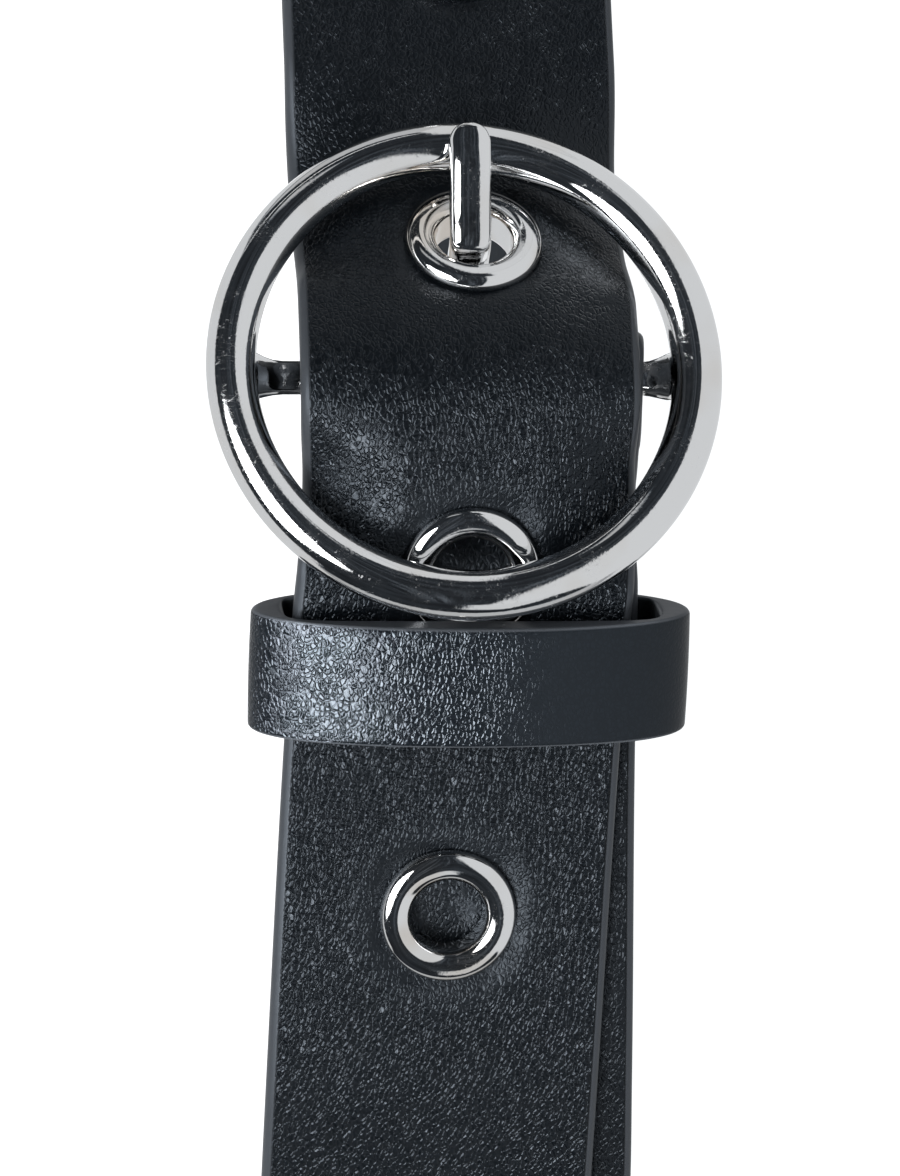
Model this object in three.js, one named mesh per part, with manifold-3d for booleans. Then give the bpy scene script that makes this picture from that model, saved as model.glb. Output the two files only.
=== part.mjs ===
// A buckled leather belt standing on its edge, with a round centre-bar buckle and metal eyelets.
// Millimetres, +Z up. The buckle faces -Y and the strap's free end runs towards +X.

import * as THREE from 'three';
import { mergeVertices } from 'three/addons/utils/BufferGeometryUtils.js';
import Module from 'manifold-3d';

const wasm = await Module();
wasm.setup();

const { degToRad } = THREE.MathUtils;

// Driving dimensions of the strap
const STRAP_WIDTH = 35;
const STRAP_THICKNESS = 2.5;
const LAYER_GAP = 1.1;
const FOLD_GAP = 0.3;
const TAIL_THICKNESS = 1.6;
const TAIL_LENGTH = 14;
const FREE_END_LENGTH = 44;
const TIP_ROUNDING = 15;
const TIP_BLUNT = 4;
const SPRING = 0.5;
const SLOT_WIDTH = 6.4;

// Driving dimensions of the buckle
const RING_RADIUS = 24.15;
const WIRE_RADIUS = 2.6;
const BAR_RADIUS = 1.75;
const BAR_SETBACK = 3;
const FLARE_RADIUS = 2.5;
const FLARE_LENGTH = 2.4;

// How the worn-in front stands: the ring's tilt, and the strap's headings in plan, in degrees
const RING_PITCH = 16;
const FRONT_LEAN = 8;
const CLIMB = -42;
const FALL = 18.5;
const FOLD_CLOSE = 7;

// Driving dimensions of the prong
const PRONG_WIDTH = 4.3;
const PRONG_THICKNESS = 2.4;
const PRONG_CURL_WALL = 1.4;
const PRONG_GAP = 0.4;
const TIP_SHORT = 0.9;

// Driving dimensions of the eyelets
const EYELET_RADIUS = 7.15;
const EYELET_HOLE_RADIUS = 3.95;
const EYELET_WALL = 0.4;
const EYELET_RISE = 1;
const EYELET_BACK_RADIUS = 5.6;
const EYELET_BACK_RISE = 0.4;
const EYELET_GAP = 0.35;
const EYELET_PITCH = 37.2;

// Driving dimensions of the keeper and of the rivet that closes the fold
const KEEPER_WIDTH = 45.6;
const KEEPER_DEPTH = 14.6;
const KEEPER_LENGTH = 12.9;
const KEEPER_SIDE_WALL = 3.4;
const KEEPER_FACE_WALL = 3;
const KEEPER_OUTER_SQUARENESS = 2.6;
const KEEPER_INNER_SQUARENESS = 8;
const KEEPER_PLACE = 5;
const KEEPER_HEADING = 18;
const KEEPER_FORWARD = 0.4;
const KEEPER_UP = -0.25;
const RIVET_PLACE = 9.5;
const RIVET_SHANK = 1.6;
const RIVET_HEAD = 2.6;
const RIVET_HEAD_THICKNESS = 0.5;

// The loop round the waist, an oval in plan
const LOOP_HALF_WIDTH = 148;
const LOOP_HALF_DEPTH = 143;
const LOOP_FRONT = 8;
const LOOP_SHIFT = 14;
const LOOP_START = -66;
const LOOP_END = 240;

const ROUND_STEPS = 18;
const OVAL_STEPS = 56;

const point = (x, y) => new THREE.Vector2(x, y);
const heading = (degrees) => point(Math.cos(degToRad(degrees)), Math.sin(degToRad(degrees)));
const moved = (from, degrees, distance) => from.clone().addScaledVector(heading(degrees), distance);

// A smooth run between two points, leaving and arriving at the given headings in degrees
function sweep(from, leaving, to, arriving, reach) {
  return new THREE.CubicBezierCurve(
    from,
    moved(from, leaving, reach[0]),
    moved(to, arriving, -reach[1]),
    to,
  );
}

// A run that lies beside part of another, a step to the left of its direction
class Beside extends THREE.Curve {
  constructor(base, from, to, step, lastStep = step) {
    super();
    Object.assign(this, { base, from, to, step, lastStep });
  }

  getPoint(t, target = new THREE.Vector2()) {
    const share = this.from + (this.to - this.from) * t;
    const direction = this.base.getTangentAt(share);
    return target.copy(this.base.getPointAt(share)).add(
      point(-direction.y, direction.x).multiplyScalar(
        THREE.MathUtils.lerp(this.step, this.lastStep, t * t),
      ),
    );
  }
}

// Places in plan, measured from the middle of the ring
const halfStrap = STRAP_THICKNESS / 2;
const restHeight = STRAP_WIDTH / 2;
const ringTop = moved(point(0, 0), -RING_PITCH, -RING_RADIUS);
const ringBottom = moved(point(0, 0), -RING_PITCH, RING_RADIUS);
const bar = moved(point(0, 0), 90 - RING_PITCH, BAR_SETBACK);

// The front layer passes behind the top rim, through the middle eyelet's place, over the bar
// and behind the bottom rim
const RIM_CLEARANCE = 1.7;
const RIM_TO_CLIMB = 1.5;
const RIM_TO_EYELET = 9.3;
const CLIMB_PAST_EYELET = 4.5;
const BOTTOM_CLEARANCE = 1.5;
const CREST_BEFORE_BOTTOM = 6.4;
const FALL_PAST_BOTTOM = 5.5;
const behindTop = moved(ringTop, CLIMB + 90, WIRE_RADIUS + RIM_CLEARANCE + halfStrap);
const middleEyelet = moved(behindTop, CLIMB, RIM_TO_EYELET);
const climbStart = moved(behindTop, CLIMB, RIM_TO_CLIMB);
const crestStart = moved(middleEyelet, CLIMB, CLIMB_PAST_EYELET);
const behindBottom = moved(
  ringBottom, FALL + 90, WIRE_RADIUS + EYELET_RISE + BOTTOM_CLEARANCE + halfStrap,
);
const crestEnd = moved(behindBottom, FALL, -CREST_BEFORE_BOTTOM);
const fallEnd = moved(behindBottom, FALL, FALL_PAST_BOTTOM);

// The rear layer starts at the fold round the bar and passes behind the front layer
const foldRadius = BAR_RADIUS + FOLD_GAP + halfStrap;
const layerStep = STRAP_THICKNESS + LAYER_GAP;
const tailStep = (STRAP_THICKNESS + TAIL_THICKNESS) / 2 + FOLD_GAP;
const rearStart = moved(bar, -90 + FOLD_CLOSE, foldRadius);
const tailStart = moved(bar, 90 - FOLD_CLOSE, foldRadius);
const rearUnderKeeper = moved(fallEnd, FALL + 90, layerStep);
const rearIn = sweep(rearStart, FOLD_CLOSE, rearUnderKeeper, FALL, [8, 7]);

const loopCurve = new THREE.EllipseCurve(
  LOOP_SHIFT, LOOP_FRONT + LOOP_HALF_DEPTH, LOOP_HALF_WIDTH, LOOP_HALF_DEPTH,
  degToRad(LOOP_START), degToRad(LOOP_END),
);
const headingOf = (direction) => THREE.MathUtils.radToDeg(direction.angle());
const rearOut = sweep(
  rearUnderKeeper, FALL, loopCurve.getPointAt(0), headingOf(loopCurve.getTangentAt(0)), [16, 16],
);
const topIn = sweep(
  loopCurve.getPointAt(1), headingOf(loopCurve.getTangentAt(1)), climbStart, CLIMB, [22, 7],
);
const TAIL_MEETS = 0.3;
const tailMeets = new Beside(rearIn, TAIL_MEETS, 1, tailStep);
const tailEndShare = TAIL_MEETS + TAIL_LENGTH / 2 / rearIn.getLength();
const freeShare = FREE_END_LENGTH / loopCurve.getLength();

// The strap's runs in plan, from the turned-back tail to the tip. Height is that of the strap's
// middle above the floor at the end of the run, lean how far its top edge tips back, in degrees.
const runs = [
  {
    name: 'tail',
    curve: new Beside(rearIn, tailEndShare, TAIL_MEETS, tailStep),
    steps: 4, height: 27.4, lean: 8,
  },
  {
    name: 'tail_in',
    curve: sweep(
      tailMeets.getPointAt(0), headingOf(tailMeets.getTangentAt(0)) - 180,
      tailStart, 180 - FOLD_CLOSE, [2.5, 2.5],
    ),
    steps: 6, height: 27.4, lean: 8,
  },
  {
    name: 'fold',
    curve: new THREE.EllipseCurve(
      bar.x, bar.y, foldRadius, foldRadius, degToRad(90 - FOLD_CLOSE), degToRad(270 + FOLD_CLOSE),
    ),
    steps: 14, height: 27.5, lean: 8,
  },
  { name: 'rear', curve: rearIn, steps: 8, height: 26.9, lean: 8 },
  { name: 'rear_out', curve: rearOut, steps: 12, height: 26.3, lean: 8 },
  { name: 'loop', curve: loopCurve, steps: 42, height: 23.0, lean: 9 },
  { name: 'top_in', curve: topIn, steps: 14, height: 25.5, lean: 10 },
  {
    name: 'climb',
    curve: new THREE.LineCurve(climbStart, crestStart),
    steps: 3, height: 26.7, lean: 8,
  },
  {
    name: 'crest',
    curve: sweep(crestStart, CLIMB, crestEnd, FALL, [13, 13]),
    steps: 15, height: 27.3, lean: 8,
  },
  {
    name: 'fall',
    curve: new THREE.LineCurve(crestEnd, fallEnd),
    steps: 3, height: 26.1, lean: 8,
  },
  {
    name: 'run_out',
    curve: new Beside(rearOut, 0, 1, -layerStep, -layerStep - SPRING),
    steps: 12, height: 22.6, lean: 8,
  },
  {
    name: 'free_end',
    curve: new Beside(loopCurve, 0, freeShare, -layerStep - SPRING, -layerStep - SPRING * 3),
    steps: 12, height: 19.8, lean: 6,
  },
];

// Arc length at which each run starts
let strapLength = 0;
for (const run of runs) {
  run.start = strapLength;
  run.length = run.curve.getLength();
  strapLength += run.length;
}
const runNamed = (name) => runs.find((run) => run.name === name);

// How far the strap's edges bend back from its middle, which stays flat, where it squeezes
// through the ring
const CUP_FLAT = 0.4;
const climbRun = runNamed('climb');
const crestRun = runNamed('crest');
const fallRun = runNamed('fall');
const rearRun = runNamed('rear');
const cups = [
  { at: 0, cup: -3 },
  { at: runNamed('tail_in').start, cup: -1.8 },
  { at: runNamed('fold').start, cup: 0 },
  { at: rearRun.start, cup: 0 },
  { at: rearRun.start + rearRun.length * 0.5, cup: 2.6 },
  { at: rearRun.start + rearRun.length * 0.7, cup: 1.8 },
  { at: rearRun.start + rearRun.length * 0.9, cup: 0 },
  { at: climbRun.start - 16, cup: 0 },
  { at: climbRun.start - 2, cup: 2.9 },
  { at: climbRun.start + 7, cup: 2.9 },
  { at: crestRun.start + 3, cup: 0.8 },
  { at: crestRun.start + crestRun.length * 0.5, cup: 0.3 },
  { at: fallRun.start - 4, cup: 3.3 },
  { at: fallRun.start + 1, cup: 3.0 },
  { at: fallRun.start + 7.5, cup: 0 },
  { at: strapLength, cup: 0 },
];
const columnOf = (rows, column) => rows.map((row) => row[column]);
const cupTable = new THREE.LinearInterpolant(columnOf(cups, 'at'), columnOf(cups, 'cup'), 1);
const cupAt = (at) => cupTable.evaluate(at)[0];

// Heights along the strap: each run's end, and the long stretch that rests on the floor
const loopRun = runNamed('loop');
const loopEnd = loopRun.start + loopRun.length;
const rearOutRun = runNamed('rear_out');
const carriage = [
  { at: 0, height: 27.2, lean: 8 },
  ...runs.map((run) => ({ at: run.start + run.length, height: run.height, lean: run.lean })),
  { at: rearOutRun.start + 18, height: 26.6, lean: 8 },
  { at: loopRun.start + 18, height: 25.9, lean: 7.4 },
  { at: loopRun.start + 50, height: 23.2, lean: 5.4 },
  { at: loopRun.start + 90, height: 18.6, lean: 2 },
  { at: loopRun.start + 125, height: restHeight, lean: 0 },
  { at: loopRun.start + 160, height: restHeight, lean: 0 },
  { at: loopEnd - 130, height: restHeight, lean: 0 },
  { at: loopEnd - 95, height: restHeight, lean: 0 },
  { at: loopEnd - 60, height: 18.4, lean: 2 },
].sort((one, other) => one.at - other.at);

const places = columnOf(carriage, 'at');
const heightTable = new THREE.CubicInterpolant(places, columnOf(carriage, 'height'), 1);
const leanTable = new THREE.CubicInterpolant(places, columnOf(carriage, 'lean'), 1);
const heightAt = (at) => Math.max(heightTable.evaluate(at)[0], restHeight);
const leanAt = (at) => Math.max(leanTable.evaluate(at)[0], 0);

// The tail is pared thin and grows to the full thickness by the fold
const tailRuns = [runNamed('tail_in').start, runNamed('fold').start];
const thicknessAt = (at) => THREE.MathUtils.mapLinear(
  THREE.MathUtils.clamp(at, ...tailRuns), ...tailRuns, TAIL_THICKNESS, STRAP_THICKNESS,
);

function runAt(at) {
  return runs.findLast((run) => at >= run.start) ?? runs[0];
}

// The strap's middle at an arc length, with its directions along, across and out of the grain side
function strapFrame(at, run = runAt(at)) {
  const share = Math.min((at - run.start) / run.length, 1);
  const place = run.curve.getPointAt(share);
  const plan = run.curve.getTangentAt(share);
  const slope = heightAt(at + 0.5) - heightAt(at - 0.5);
  const along = new THREE.Vector3(plan.x, plan.y, slope).normalize();
  const lean = degToRad(leanAt(at));
  const tipped = new THREE.Vector3(0, Math.sin(lean), Math.cos(lean));
  const outward = new THREE.Vector3().crossVectors(along, tipped).normalize();
  const across = new THREE.Vector3().crossVectors(outward, along).normalize();
  return { origin: new THREE.Vector3(place.x, place.y, heightAt(at)), along, across, outward };
}

// Half the strap's width: full, but rounded off at the tip
function halfWidthAt(at) {
  const fromTip = Math.max(strapLength - at, 0);
  if (fromTip >= TIP_ROUNDING) {
    return STRAP_WIDTH / 2;
  }
  const inward = 1 - fromTip / TIP_ROUNDING;
  return TIP_BLUNT + (STRAP_WIDTH / 2 - TIP_BLUNT) * Math.sqrt(1 - inward * inward);
}

const MERGE_DISTANCE = 1e-4;

// A closed mesh with merged vertices, as a solid for joining and cutting
function solidOf(geometry) {
  const bare = geometry.clone();
  bare.deleteAttribute('normal');
  bare.deleteAttribute('uv');
  const merged = mergeVertices(bare, MERGE_DISTANCE);
  const vertProperties = new Float32Array(merged.attributes.position.array);
  const triVerts = new Uint32Array(merged.index.array);
  return new wasm.Manifold(new wasm.Mesh({ numProp: 3, vertProperties, triVerts }));
}

function geometryOf(solid) {
  const mesh = solid.getMesh();
  const vertices = new Float32Array(mesh.vertProperties);
  const geometry = new THREE.BufferGeometry();
  geometry.setAttribute('position', new THREE.BufferAttribute(vertices, 3));
  geometry.setIndex(new THREE.BufferAttribute(new Uint32Array(mesh.triVerts), 1));
  geometry.computeVertexNormals();
  return geometry;
}

// The turn and place that stand a piece's +Z out of the strap's grain side and its +X along it
function strapMatrix(at, offAxis = 0) {
  const { origin, along, across, outward } = strapFrame(at);
  const side = new THREE.Vector3().crossVectors(outward, along);
  return new THREE.Matrix4()
    .makeBasis(along, side, outward)
    .setPosition(origin.clone().addScaledVector(across, offAxis));
}

// Stations from the tail to the tip
const stations = [{ run: runs[0], at: 0 }];
for (const run of runs) {
  for (let step = 1; step <= run.steps; step += 1) {
    stations.push({ run, at: run.start + run.length * (step / run.steps) });
  }
}

// The strap as a long flat box, bent along its runs and cupped across where it squeezes through
const COLUMNS = [-1, -0.7, -CUP_FLAT, CUP_FLAT, 0.7, 1];

function bentStrap() {
  const geometry = new THREE.BoxGeometry(1, 1, 1, stations.length - 1, COLUMNS.length - 1, 1);
  const position = geometry.attributes.position;
  const corner = new THREE.Vector3();
  for (let index = 0; index < position.count; index += 1) {
    corner.fromBufferAttribute(position, index);
    const station = stations[Math.round((corner.x + 0.5) * (stations.length - 1))];
    const { origin, across, outward } = strapFrame(station.at, station.run);
    const column = COLUMNS[Math.round((corner.y + 0.5) * (COLUMNS.length - 1))];
    const bend = Math.max(Math.abs(column) - CUP_FLAT, 0) / (1 - CUP_FLAT);
    const back = cupAt(station.at) * bend ** 1.5;
    const drawnIn = back ** 2 / STRAP_WIDTH;
    const place = origin
      .addScaledVector(across, column * (halfWidthAt(station.at) - drawnIn))
      .addScaledVector(outward, corner.z * thicknessAt(station.at) - back);
    position.setXYZ(index, place.x, place.y, place.z);
  }
  return geometry;
}

// Five eyelets, the middle one on the prong. Off axis is how far each sits above the strap's middle.
const middleAt = climbRun.start + RIM_TO_EYELET - RIM_TO_CLIMB;
const eyelets = [
  { name: 'eyelet_1', at: middleAt - 2 * EYELET_PITCH, offAxis: 0.6 },
  { name: 'eyelet_2', at: middleAt - EYELET_PITCH, offAxis: 1.4 },
  { name: 'eyelet_3', at: middleAt, offAxis: 0.9 },
  { name: 'eyelet_4', at: middleAt + EYELET_PITCH, offAxis: 0.3 },
  { name: 'eyelet_5', at: middleAt + 2 * EYELET_PITCH, offAxis: 0.5 },
];

function eyeletBore({ at, offAxis }) {
  const bore = new THREE.CylinderGeometry(
    EYELET_HOLE_RADIUS + EYELET_WALL + EYELET_GAP,
    EYELET_HOLE_RADIUS + EYELET_WALL + EYELET_GAP,
    STRAP_THICKNESS * 1.6,
    ROUND_STEPS,
  );
  bore.rotateX(Math.PI / 2);
  bore.applyMatrix4(strapMatrix(at, offAxis));
  return solidOf(bore);
}

// A domed front flange, the barrel and a flatter back flange, turned round the eyelet's axis
function eyeletGeometry() {
  const front = STRAP_THICKNESS / 2 + EYELET_GAP;
  const back = -front;
  const barrel = EYELET_HOLE_RADIUS + EYELET_WALL;
  const lip = (EYELET_RADIUS + EYELET_HOLE_RADIUS) / 2;
  const profile = [
    [EYELET_HOLE_RADIUS, back - EYELET_BACK_RISE * 0.6],
    [barrel + 0.2, back - EYELET_BACK_RISE],
    [EYELET_BACK_RADIUS - 0.4, back - EYELET_BACK_RISE],
    [EYELET_BACK_RADIUS, back],
    [barrel, back],
    [barrel, front],
    [EYELET_RADIUS, front],
    [EYELET_RADIUS - 0.35, front + EYELET_RISE * 0.62],
    [lip + 0.5, front + EYELET_RISE],
    [lip - 0.5, front + EYELET_RISE],
    [EYELET_HOLE_RADIUS + 0.25, front + EYELET_RISE * 0.62],
    [EYELET_HOLE_RADIUS, front],
    [EYELET_HOLE_RADIUS, back - EYELET_BACK_RISE * 0.6],
  ].map(([radius, height]) => point(radius, height));
  const geometry = new THREE.LatheGeometry(profile, ROUND_STEPS);
  geometry.rotateX(Math.PI / 2);
  return geometry;
}

// The buckle's own directions: +X down the ring, +Z along the bar, +Y through the ring to its back
const ringHeight = RING_RADIUS * Math.cos(degToRad(FRONT_LEAN)) + WIRE_RADIUS;
const buckleTurn = new THREE.Matrix4()
  .makeRotationFromEuler(new THREE.Euler(degToRad(-FRONT_LEAN), 0, degToRad(-RING_PITCH)))
  .setPosition(0, 0, ringHeight);

// The bar is a round rod with a flare at each end, and it is one casting with the ring
function buckleGeometry() {
  const ring = new THREE.TorusGeometry(RING_RADIUS, WIRE_RADIUS, 12, 48);
  ring.rotateX(Math.PI / 2);
  let casting = solidOf(ring);
  const rod = new THREE.CylinderGeometry(BAR_RADIUS, BAR_RADIUS, RING_RADIUS * 2, 16);
  rod.rotateX(Math.PI / 2);
  rod.translate(0, BAR_SETBACK, 0);
  casting = casting.add(solidOf(rod));
  const flareMiddle = RING_RADIUS - WIRE_RADIUS - FLARE_LENGTH / 2 + 0.8;
  for (const end of [-1, 1]) {
    const flare = new THREE.CylinderGeometry(FLARE_RADIUS, BAR_RADIUS, FLARE_LENGTH, 16);
    flare.rotateX(Math.PI / 2 * end);
    flare.translate(0, BAR_SETBACK * 0.75, end * flareMiddle);
    casting = casting.add(solidOf(flare));
  }
  return geometryOf(casting);
}

// Stands a plan drawing up at the strap's middle height, tipped back with the front of the belt
const inPlan = (places) => places.map((place) => new THREE.Vector3(place.x, place.y, 0));
const planHeight = ringHeight + 0.8;
const planTurn = new THREE.Matrix4()
  .makeRotationX(degToRad(-FRONT_LEAN))
  .setPosition(0, 0, planHeight);

// A flat bar section with rounded corners
function roundedBar(width, thickness, corner) {
  const shape = new THREE.Shape();
  const x = width / 2;
  const y = thickness / 2;
  shape.moveTo(-x + corner, -y);
  shape.lineTo(x - corner, -y);
  shape.absarc(x - corner, -y + corner, corner, -Math.PI / 2, 0);
  shape.absarc(x - corner, y - corner, corner, 0, Math.PI / 2);
  shape.absarc(-x + corner, y - corner, corner, Math.PI / 2, Math.PI);
  shape.absarc(-x + corner, -y + corner, corner, Math.PI, Math.PI * 1.5);
  return shape;
}

// The prong's bends: how far past the eyelet's middle it crosses the hole, how far behind and in
// front of the strap it starts to turn, and the side and slope at which it lies on the top rim
const PRONG_PAST_MIDDLE = 1.35;
const PRONG_FOOT = { side: 140, reach: 6.6 };
const PRONG_BEHIND = 2.6;
const PRONG_IN_FRONT = 2.5;
const PRONG_KNEE = { rise: 3.3, slope: 164, reach: 2.6 };
const PRONG_REST = { side: -104, slope: -14, before: 3 };
const PRONG_CORNER = 0.7;

// The prong curls round the bar, runs up behind the strap, comes through the middle eyelet
// and rests on the top rim
function prongGeometry() {
  const half = PRONG_THICKNESS / 2;
  const curlHole = BAR_RADIUS + PRONG_GAP;
  const outward = CLIMB - 90;
  const inHole = moved(middleEyelet, CLIMB, PRONG_PAST_MIDDLE);
  const onRim = moved(ringTop, PRONG_REST.side, WIRE_RADIUS + PRONG_GAP + half);
  const tipPlace = moved(onRim, PRONG_REST.slope, TIP_SHORT);
  const spine = new THREE.CatmullRomCurve3(inPlan([
    moved(bar, 90, curlHole + PRONG_CURL_WALL / 2),
    moved(bar, PRONG_FOOT.side, PRONG_FOOT.reach),
    moved(inHole, outward, -PRONG_BEHIND),
    inHole,
    moved(inHole, outward, PRONG_IN_FRONT),
    moved(moved(inHole, outward, PRONG_KNEE.rise), PRONG_KNEE.slope, PRONG_KNEE.reach),
    moved(onRim, PRONG_REST.slope, PRONG_REST.before),
    tipPlace,
  ]));
  const section = roundedBar(PRONG_WIDTH, PRONG_THICKNESS, PRONG_CORNER);
  const shank = new THREE.ExtrudeGeometry(section, {
    extrudePath: spine, steps: 18, curveSegments: 2,
  });
  const curl = new THREE.LatheGeometry([
    point(curlHole, -PRONG_WIDTH / 2),
    point(curlHole + PRONG_CURL_WALL, -PRONG_WIDTH / 2),
    point(curlHole + PRONG_CURL_WALL, PRONG_WIDTH / 2),
    point(curlHole, PRONG_WIDTH / 2),
    point(curlHole, -PRONG_WIDTH / 2),
  ], ROUND_STEPS);
  curl.rotateX(Math.PI / 2);
  curl.translate(bar.x, bar.y, 0);
  const tip = new THREE.CylinderGeometry(
    PRONG_WIDTH / 2, PRONG_WIDTH / 2, PRONG_THICKNESS, ROUND_STEPS,
  );
  tip.rotateZ(degToRad(PRONG_REST.slope));
  tip.translate(tipPlace.x, tipPlace.y, 0);
  const barSpace = new THREE.CylinderGeometry(curlHole, curlHole, PRONG_WIDTH * 2, ROUND_STEPS);
  barSpace.rotateX(Math.PI / 2);
  barSpace.translate(bar.x, bar.y, 0);
  return geometryOf(solidOf(shank).add(solidOf(curl)).add(solidOf(tip)).subtract(solidOf(barSpace)));
}

// The slot that lets the prong's curl sit on the bar, cut through the fold only
const SLOT_LENGTH_SPARE = 6.4;
const SLOT_DEPTH_SPARE = 0.8;
const SLOT_OFFSET = point(1.4, 0.2);

function slotSolid() {
  const reach = foldRadius + halfStrap;
  const slot = new THREE.BoxGeometry(
    reach + SLOT_LENGTH_SPARE, reach * 2 + SLOT_DEPTH_SPARE, SLOT_WIDTH,
  );
  slot.translate(bar.x - reach / 2 + SLOT_OFFSET.x, bar.y + SLOT_OFFSET.y, 0);
  slot.applyMatrix4(planTurn);
  return solidOf(slot);
}

// The keeper is an oval band of thick leather round all the layers
function ovalPath(Kind, halfWidth, halfDepth, squareness) {
  const corners = [];
  const power = 2 / squareness;
  for (let step = 0; step < OVAL_STEPS; step += 1) {
    const angle = (step / OVAL_STEPS) * 2 * Math.PI;
    const [x, y] = [Math.cos(angle), Math.sin(angle)];
    corners.push(point(
      halfWidth * Math.sign(x) * Math.abs(x) ** power,
      halfDepth * Math.sign(y) * Math.abs(y) ** power,
    ));
  }
  return new Kind(corners);
}

function keeperGeometry() {
  const outline = ovalPath(
    THREE.Shape, KEEPER_WIDTH / 2, KEEPER_DEPTH / 2, KEEPER_OUTER_SQUARENESS,
  );
  outline.holes.push(ovalPath(
    THREE.Path,
    KEEPER_WIDTH / 2 - KEEPER_SIDE_WALL,
    KEEPER_DEPTH / 2 - KEEPER_FACE_WALL,
    KEEPER_INNER_SQUARENESS,
  ));
  const band = new THREE.ExtrudeGeometry(outline, { depth: KEEPER_LENGTH, bevelEnabled: false });
  band.translate(0, 0, -KEEPER_LENGTH / 2);
  return band;
}

// The keeper stays square to the front's lean while the strap slopes through it. Its own +Z runs
// back up the strap, +X across it and +Y to its back.
function keeperMatrix() {
  const { origin } = strapFrame(rearOutRun.start + KEEPER_PLACE);
  const lean = degToRad(FRONT_LEAN);
  const level = heading(KEEPER_HEADING);
  const across = new THREE.Vector3(0, Math.sin(lean), Math.cos(lean));
  const inward = new THREE.Vector3(-level.x, -level.y, 0).cross(across).normalize();
  const upStrap = new THREE.Vector3().crossVectors(across, inward);
  return new THREE.Matrix4()
    .makeBasis(across, inward, upStrap)
    .setPosition(origin
      .addScaledVector(inward, -layerStep / 2 - KEEPER_FORWARD)
      .addScaledVector(across, KEEPER_UP));
}

// A plain rivet holds the turned-back tail to the rear layer, hidden by the front layer
function rivetGeometry() {
  const outer = STRAP_THICKNESS / 2 + EYELET_GAP;
  const inner = -(tailStep + TAIL_THICKNESS / 2 + EYELET_GAP * 1.5);
  const rivet = new THREE.LatheGeometry([
    point(0, inner - RIVET_HEAD_THICKNESS),
    point(RIVET_HEAD, inner - RIVET_HEAD_THICKNESS),
    point(RIVET_HEAD, inner),
    point(RIVET_SHANK, inner),
    point(RIVET_SHANK, outer),
    point(RIVET_HEAD, outer),
    point(RIVET_HEAD, outer + RIVET_HEAD_THICKNESS),
    point(0, outer + RIVET_HEAD_THICKNESS),
  ], ROUND_STEPS);
  rivet.rotateX(Math.PI / 2);
  return rivet;
}
const rivetMatrix = strapMatrix(runNamed('rear').start + RIVET_PLACE);

function rivetBore() {
  const bore = new THREE.CylinderGeometry(
    RIVET_SHANK + EYELET_GAP, RIVET_SHANK + EYELET_GAP, STRAP_THICKNESS * 2.6, ROUND_STEPS,
  );
  bore.rotateX(Math.PI / 2);
  bore.translate(0, 0, -tailStep / 2);
  bore.applyMatrix4(rivetMatrix);
  return solidOf(bore);
}

function strapGeometry() {
  let leather = solidOf(bentStrap());
  for (const cut of [...eyelets.map(eyeletBore), slotSolid(), rivetBore()]) {
    leather = leather.subtract(cut);
  }
  return geometryOf(leather);
}

const leatherFinish = { color: 0x24282c, roughness: 0.55, metalness: 0 };
const chromeFinish = { color: 0xd8dadd, roughness: 0.08, metalness: 1 };

const belt = new THREE.Group();

function addPiece(name, geometry, finish, matrix = new THREE.Matrix4()) {
  const piece = new THREE.Mesh(geometry, new THREE.MeshStandardMaterial(finish));
  piece.name = name;
  piece.applyMatrix4(matrix);
  belt.add(piece);
}

addPiece('strap', strapGeometry(), leatherFinish);
addPiece('keeper', keeperGeometry(), leatherFinish, keeperMatrix());
addPiece('buckle_frame', buckleGeometry(), chromeFinish, buckleTurn);
addPiece('prong', prongGeometry(), chromeFinish, planTurn);
addPiece('fold_rivet', rivetGeometry(), chromeFinish, rivetMatrix);
for (const eyelet of eyelets) {
  addPiece(eyelet.name, eyeletGeometry(), chromeFinish, strapMatrix(eyelet.at, eyelet.offAxis));
}

// The origin is the middle of the belt's box, on the floor
const box = new THREE.Box3().setFromObject(belt, true);
const middle = box.getCenter(new THREE.Vector3());
belt.position.set(-middle.x, -middle.y, -box.min.z);
belt.userData.shift = belt.position.toArray();

export default belt;
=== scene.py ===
import math

import bmesh
import bpy
import numpy as np
from bpy.props import FloatProperty, FloatVectorProperty, IntProperty, PointerProperty
from mathutils import Matrix, Vector


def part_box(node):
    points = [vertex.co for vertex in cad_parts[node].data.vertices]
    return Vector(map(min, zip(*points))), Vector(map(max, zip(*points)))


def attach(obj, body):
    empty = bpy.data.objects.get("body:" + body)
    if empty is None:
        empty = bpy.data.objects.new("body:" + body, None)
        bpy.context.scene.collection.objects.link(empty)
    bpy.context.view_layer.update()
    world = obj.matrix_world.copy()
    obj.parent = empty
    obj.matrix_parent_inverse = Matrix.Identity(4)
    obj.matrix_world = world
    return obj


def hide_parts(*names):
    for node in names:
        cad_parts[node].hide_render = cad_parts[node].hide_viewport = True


# A worn leather belt with a round centre-bar buckle, a leather keeper and pressed metal eyelets.
# Plan drawings are in millimetres from the middle of the ring, and every mesh is in metres.

bl_info = {
    "name": "Buckled Eyelet Belt",
    "version": (1, 0, 0),
    "blender": (4, 5, 0),
    "location": "View3D > Sidebar > Belt",
    "description": "Builds a leather belt with a round buckle, a keeper and eyelets",
    "category": "Add Mesh",
}

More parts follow.
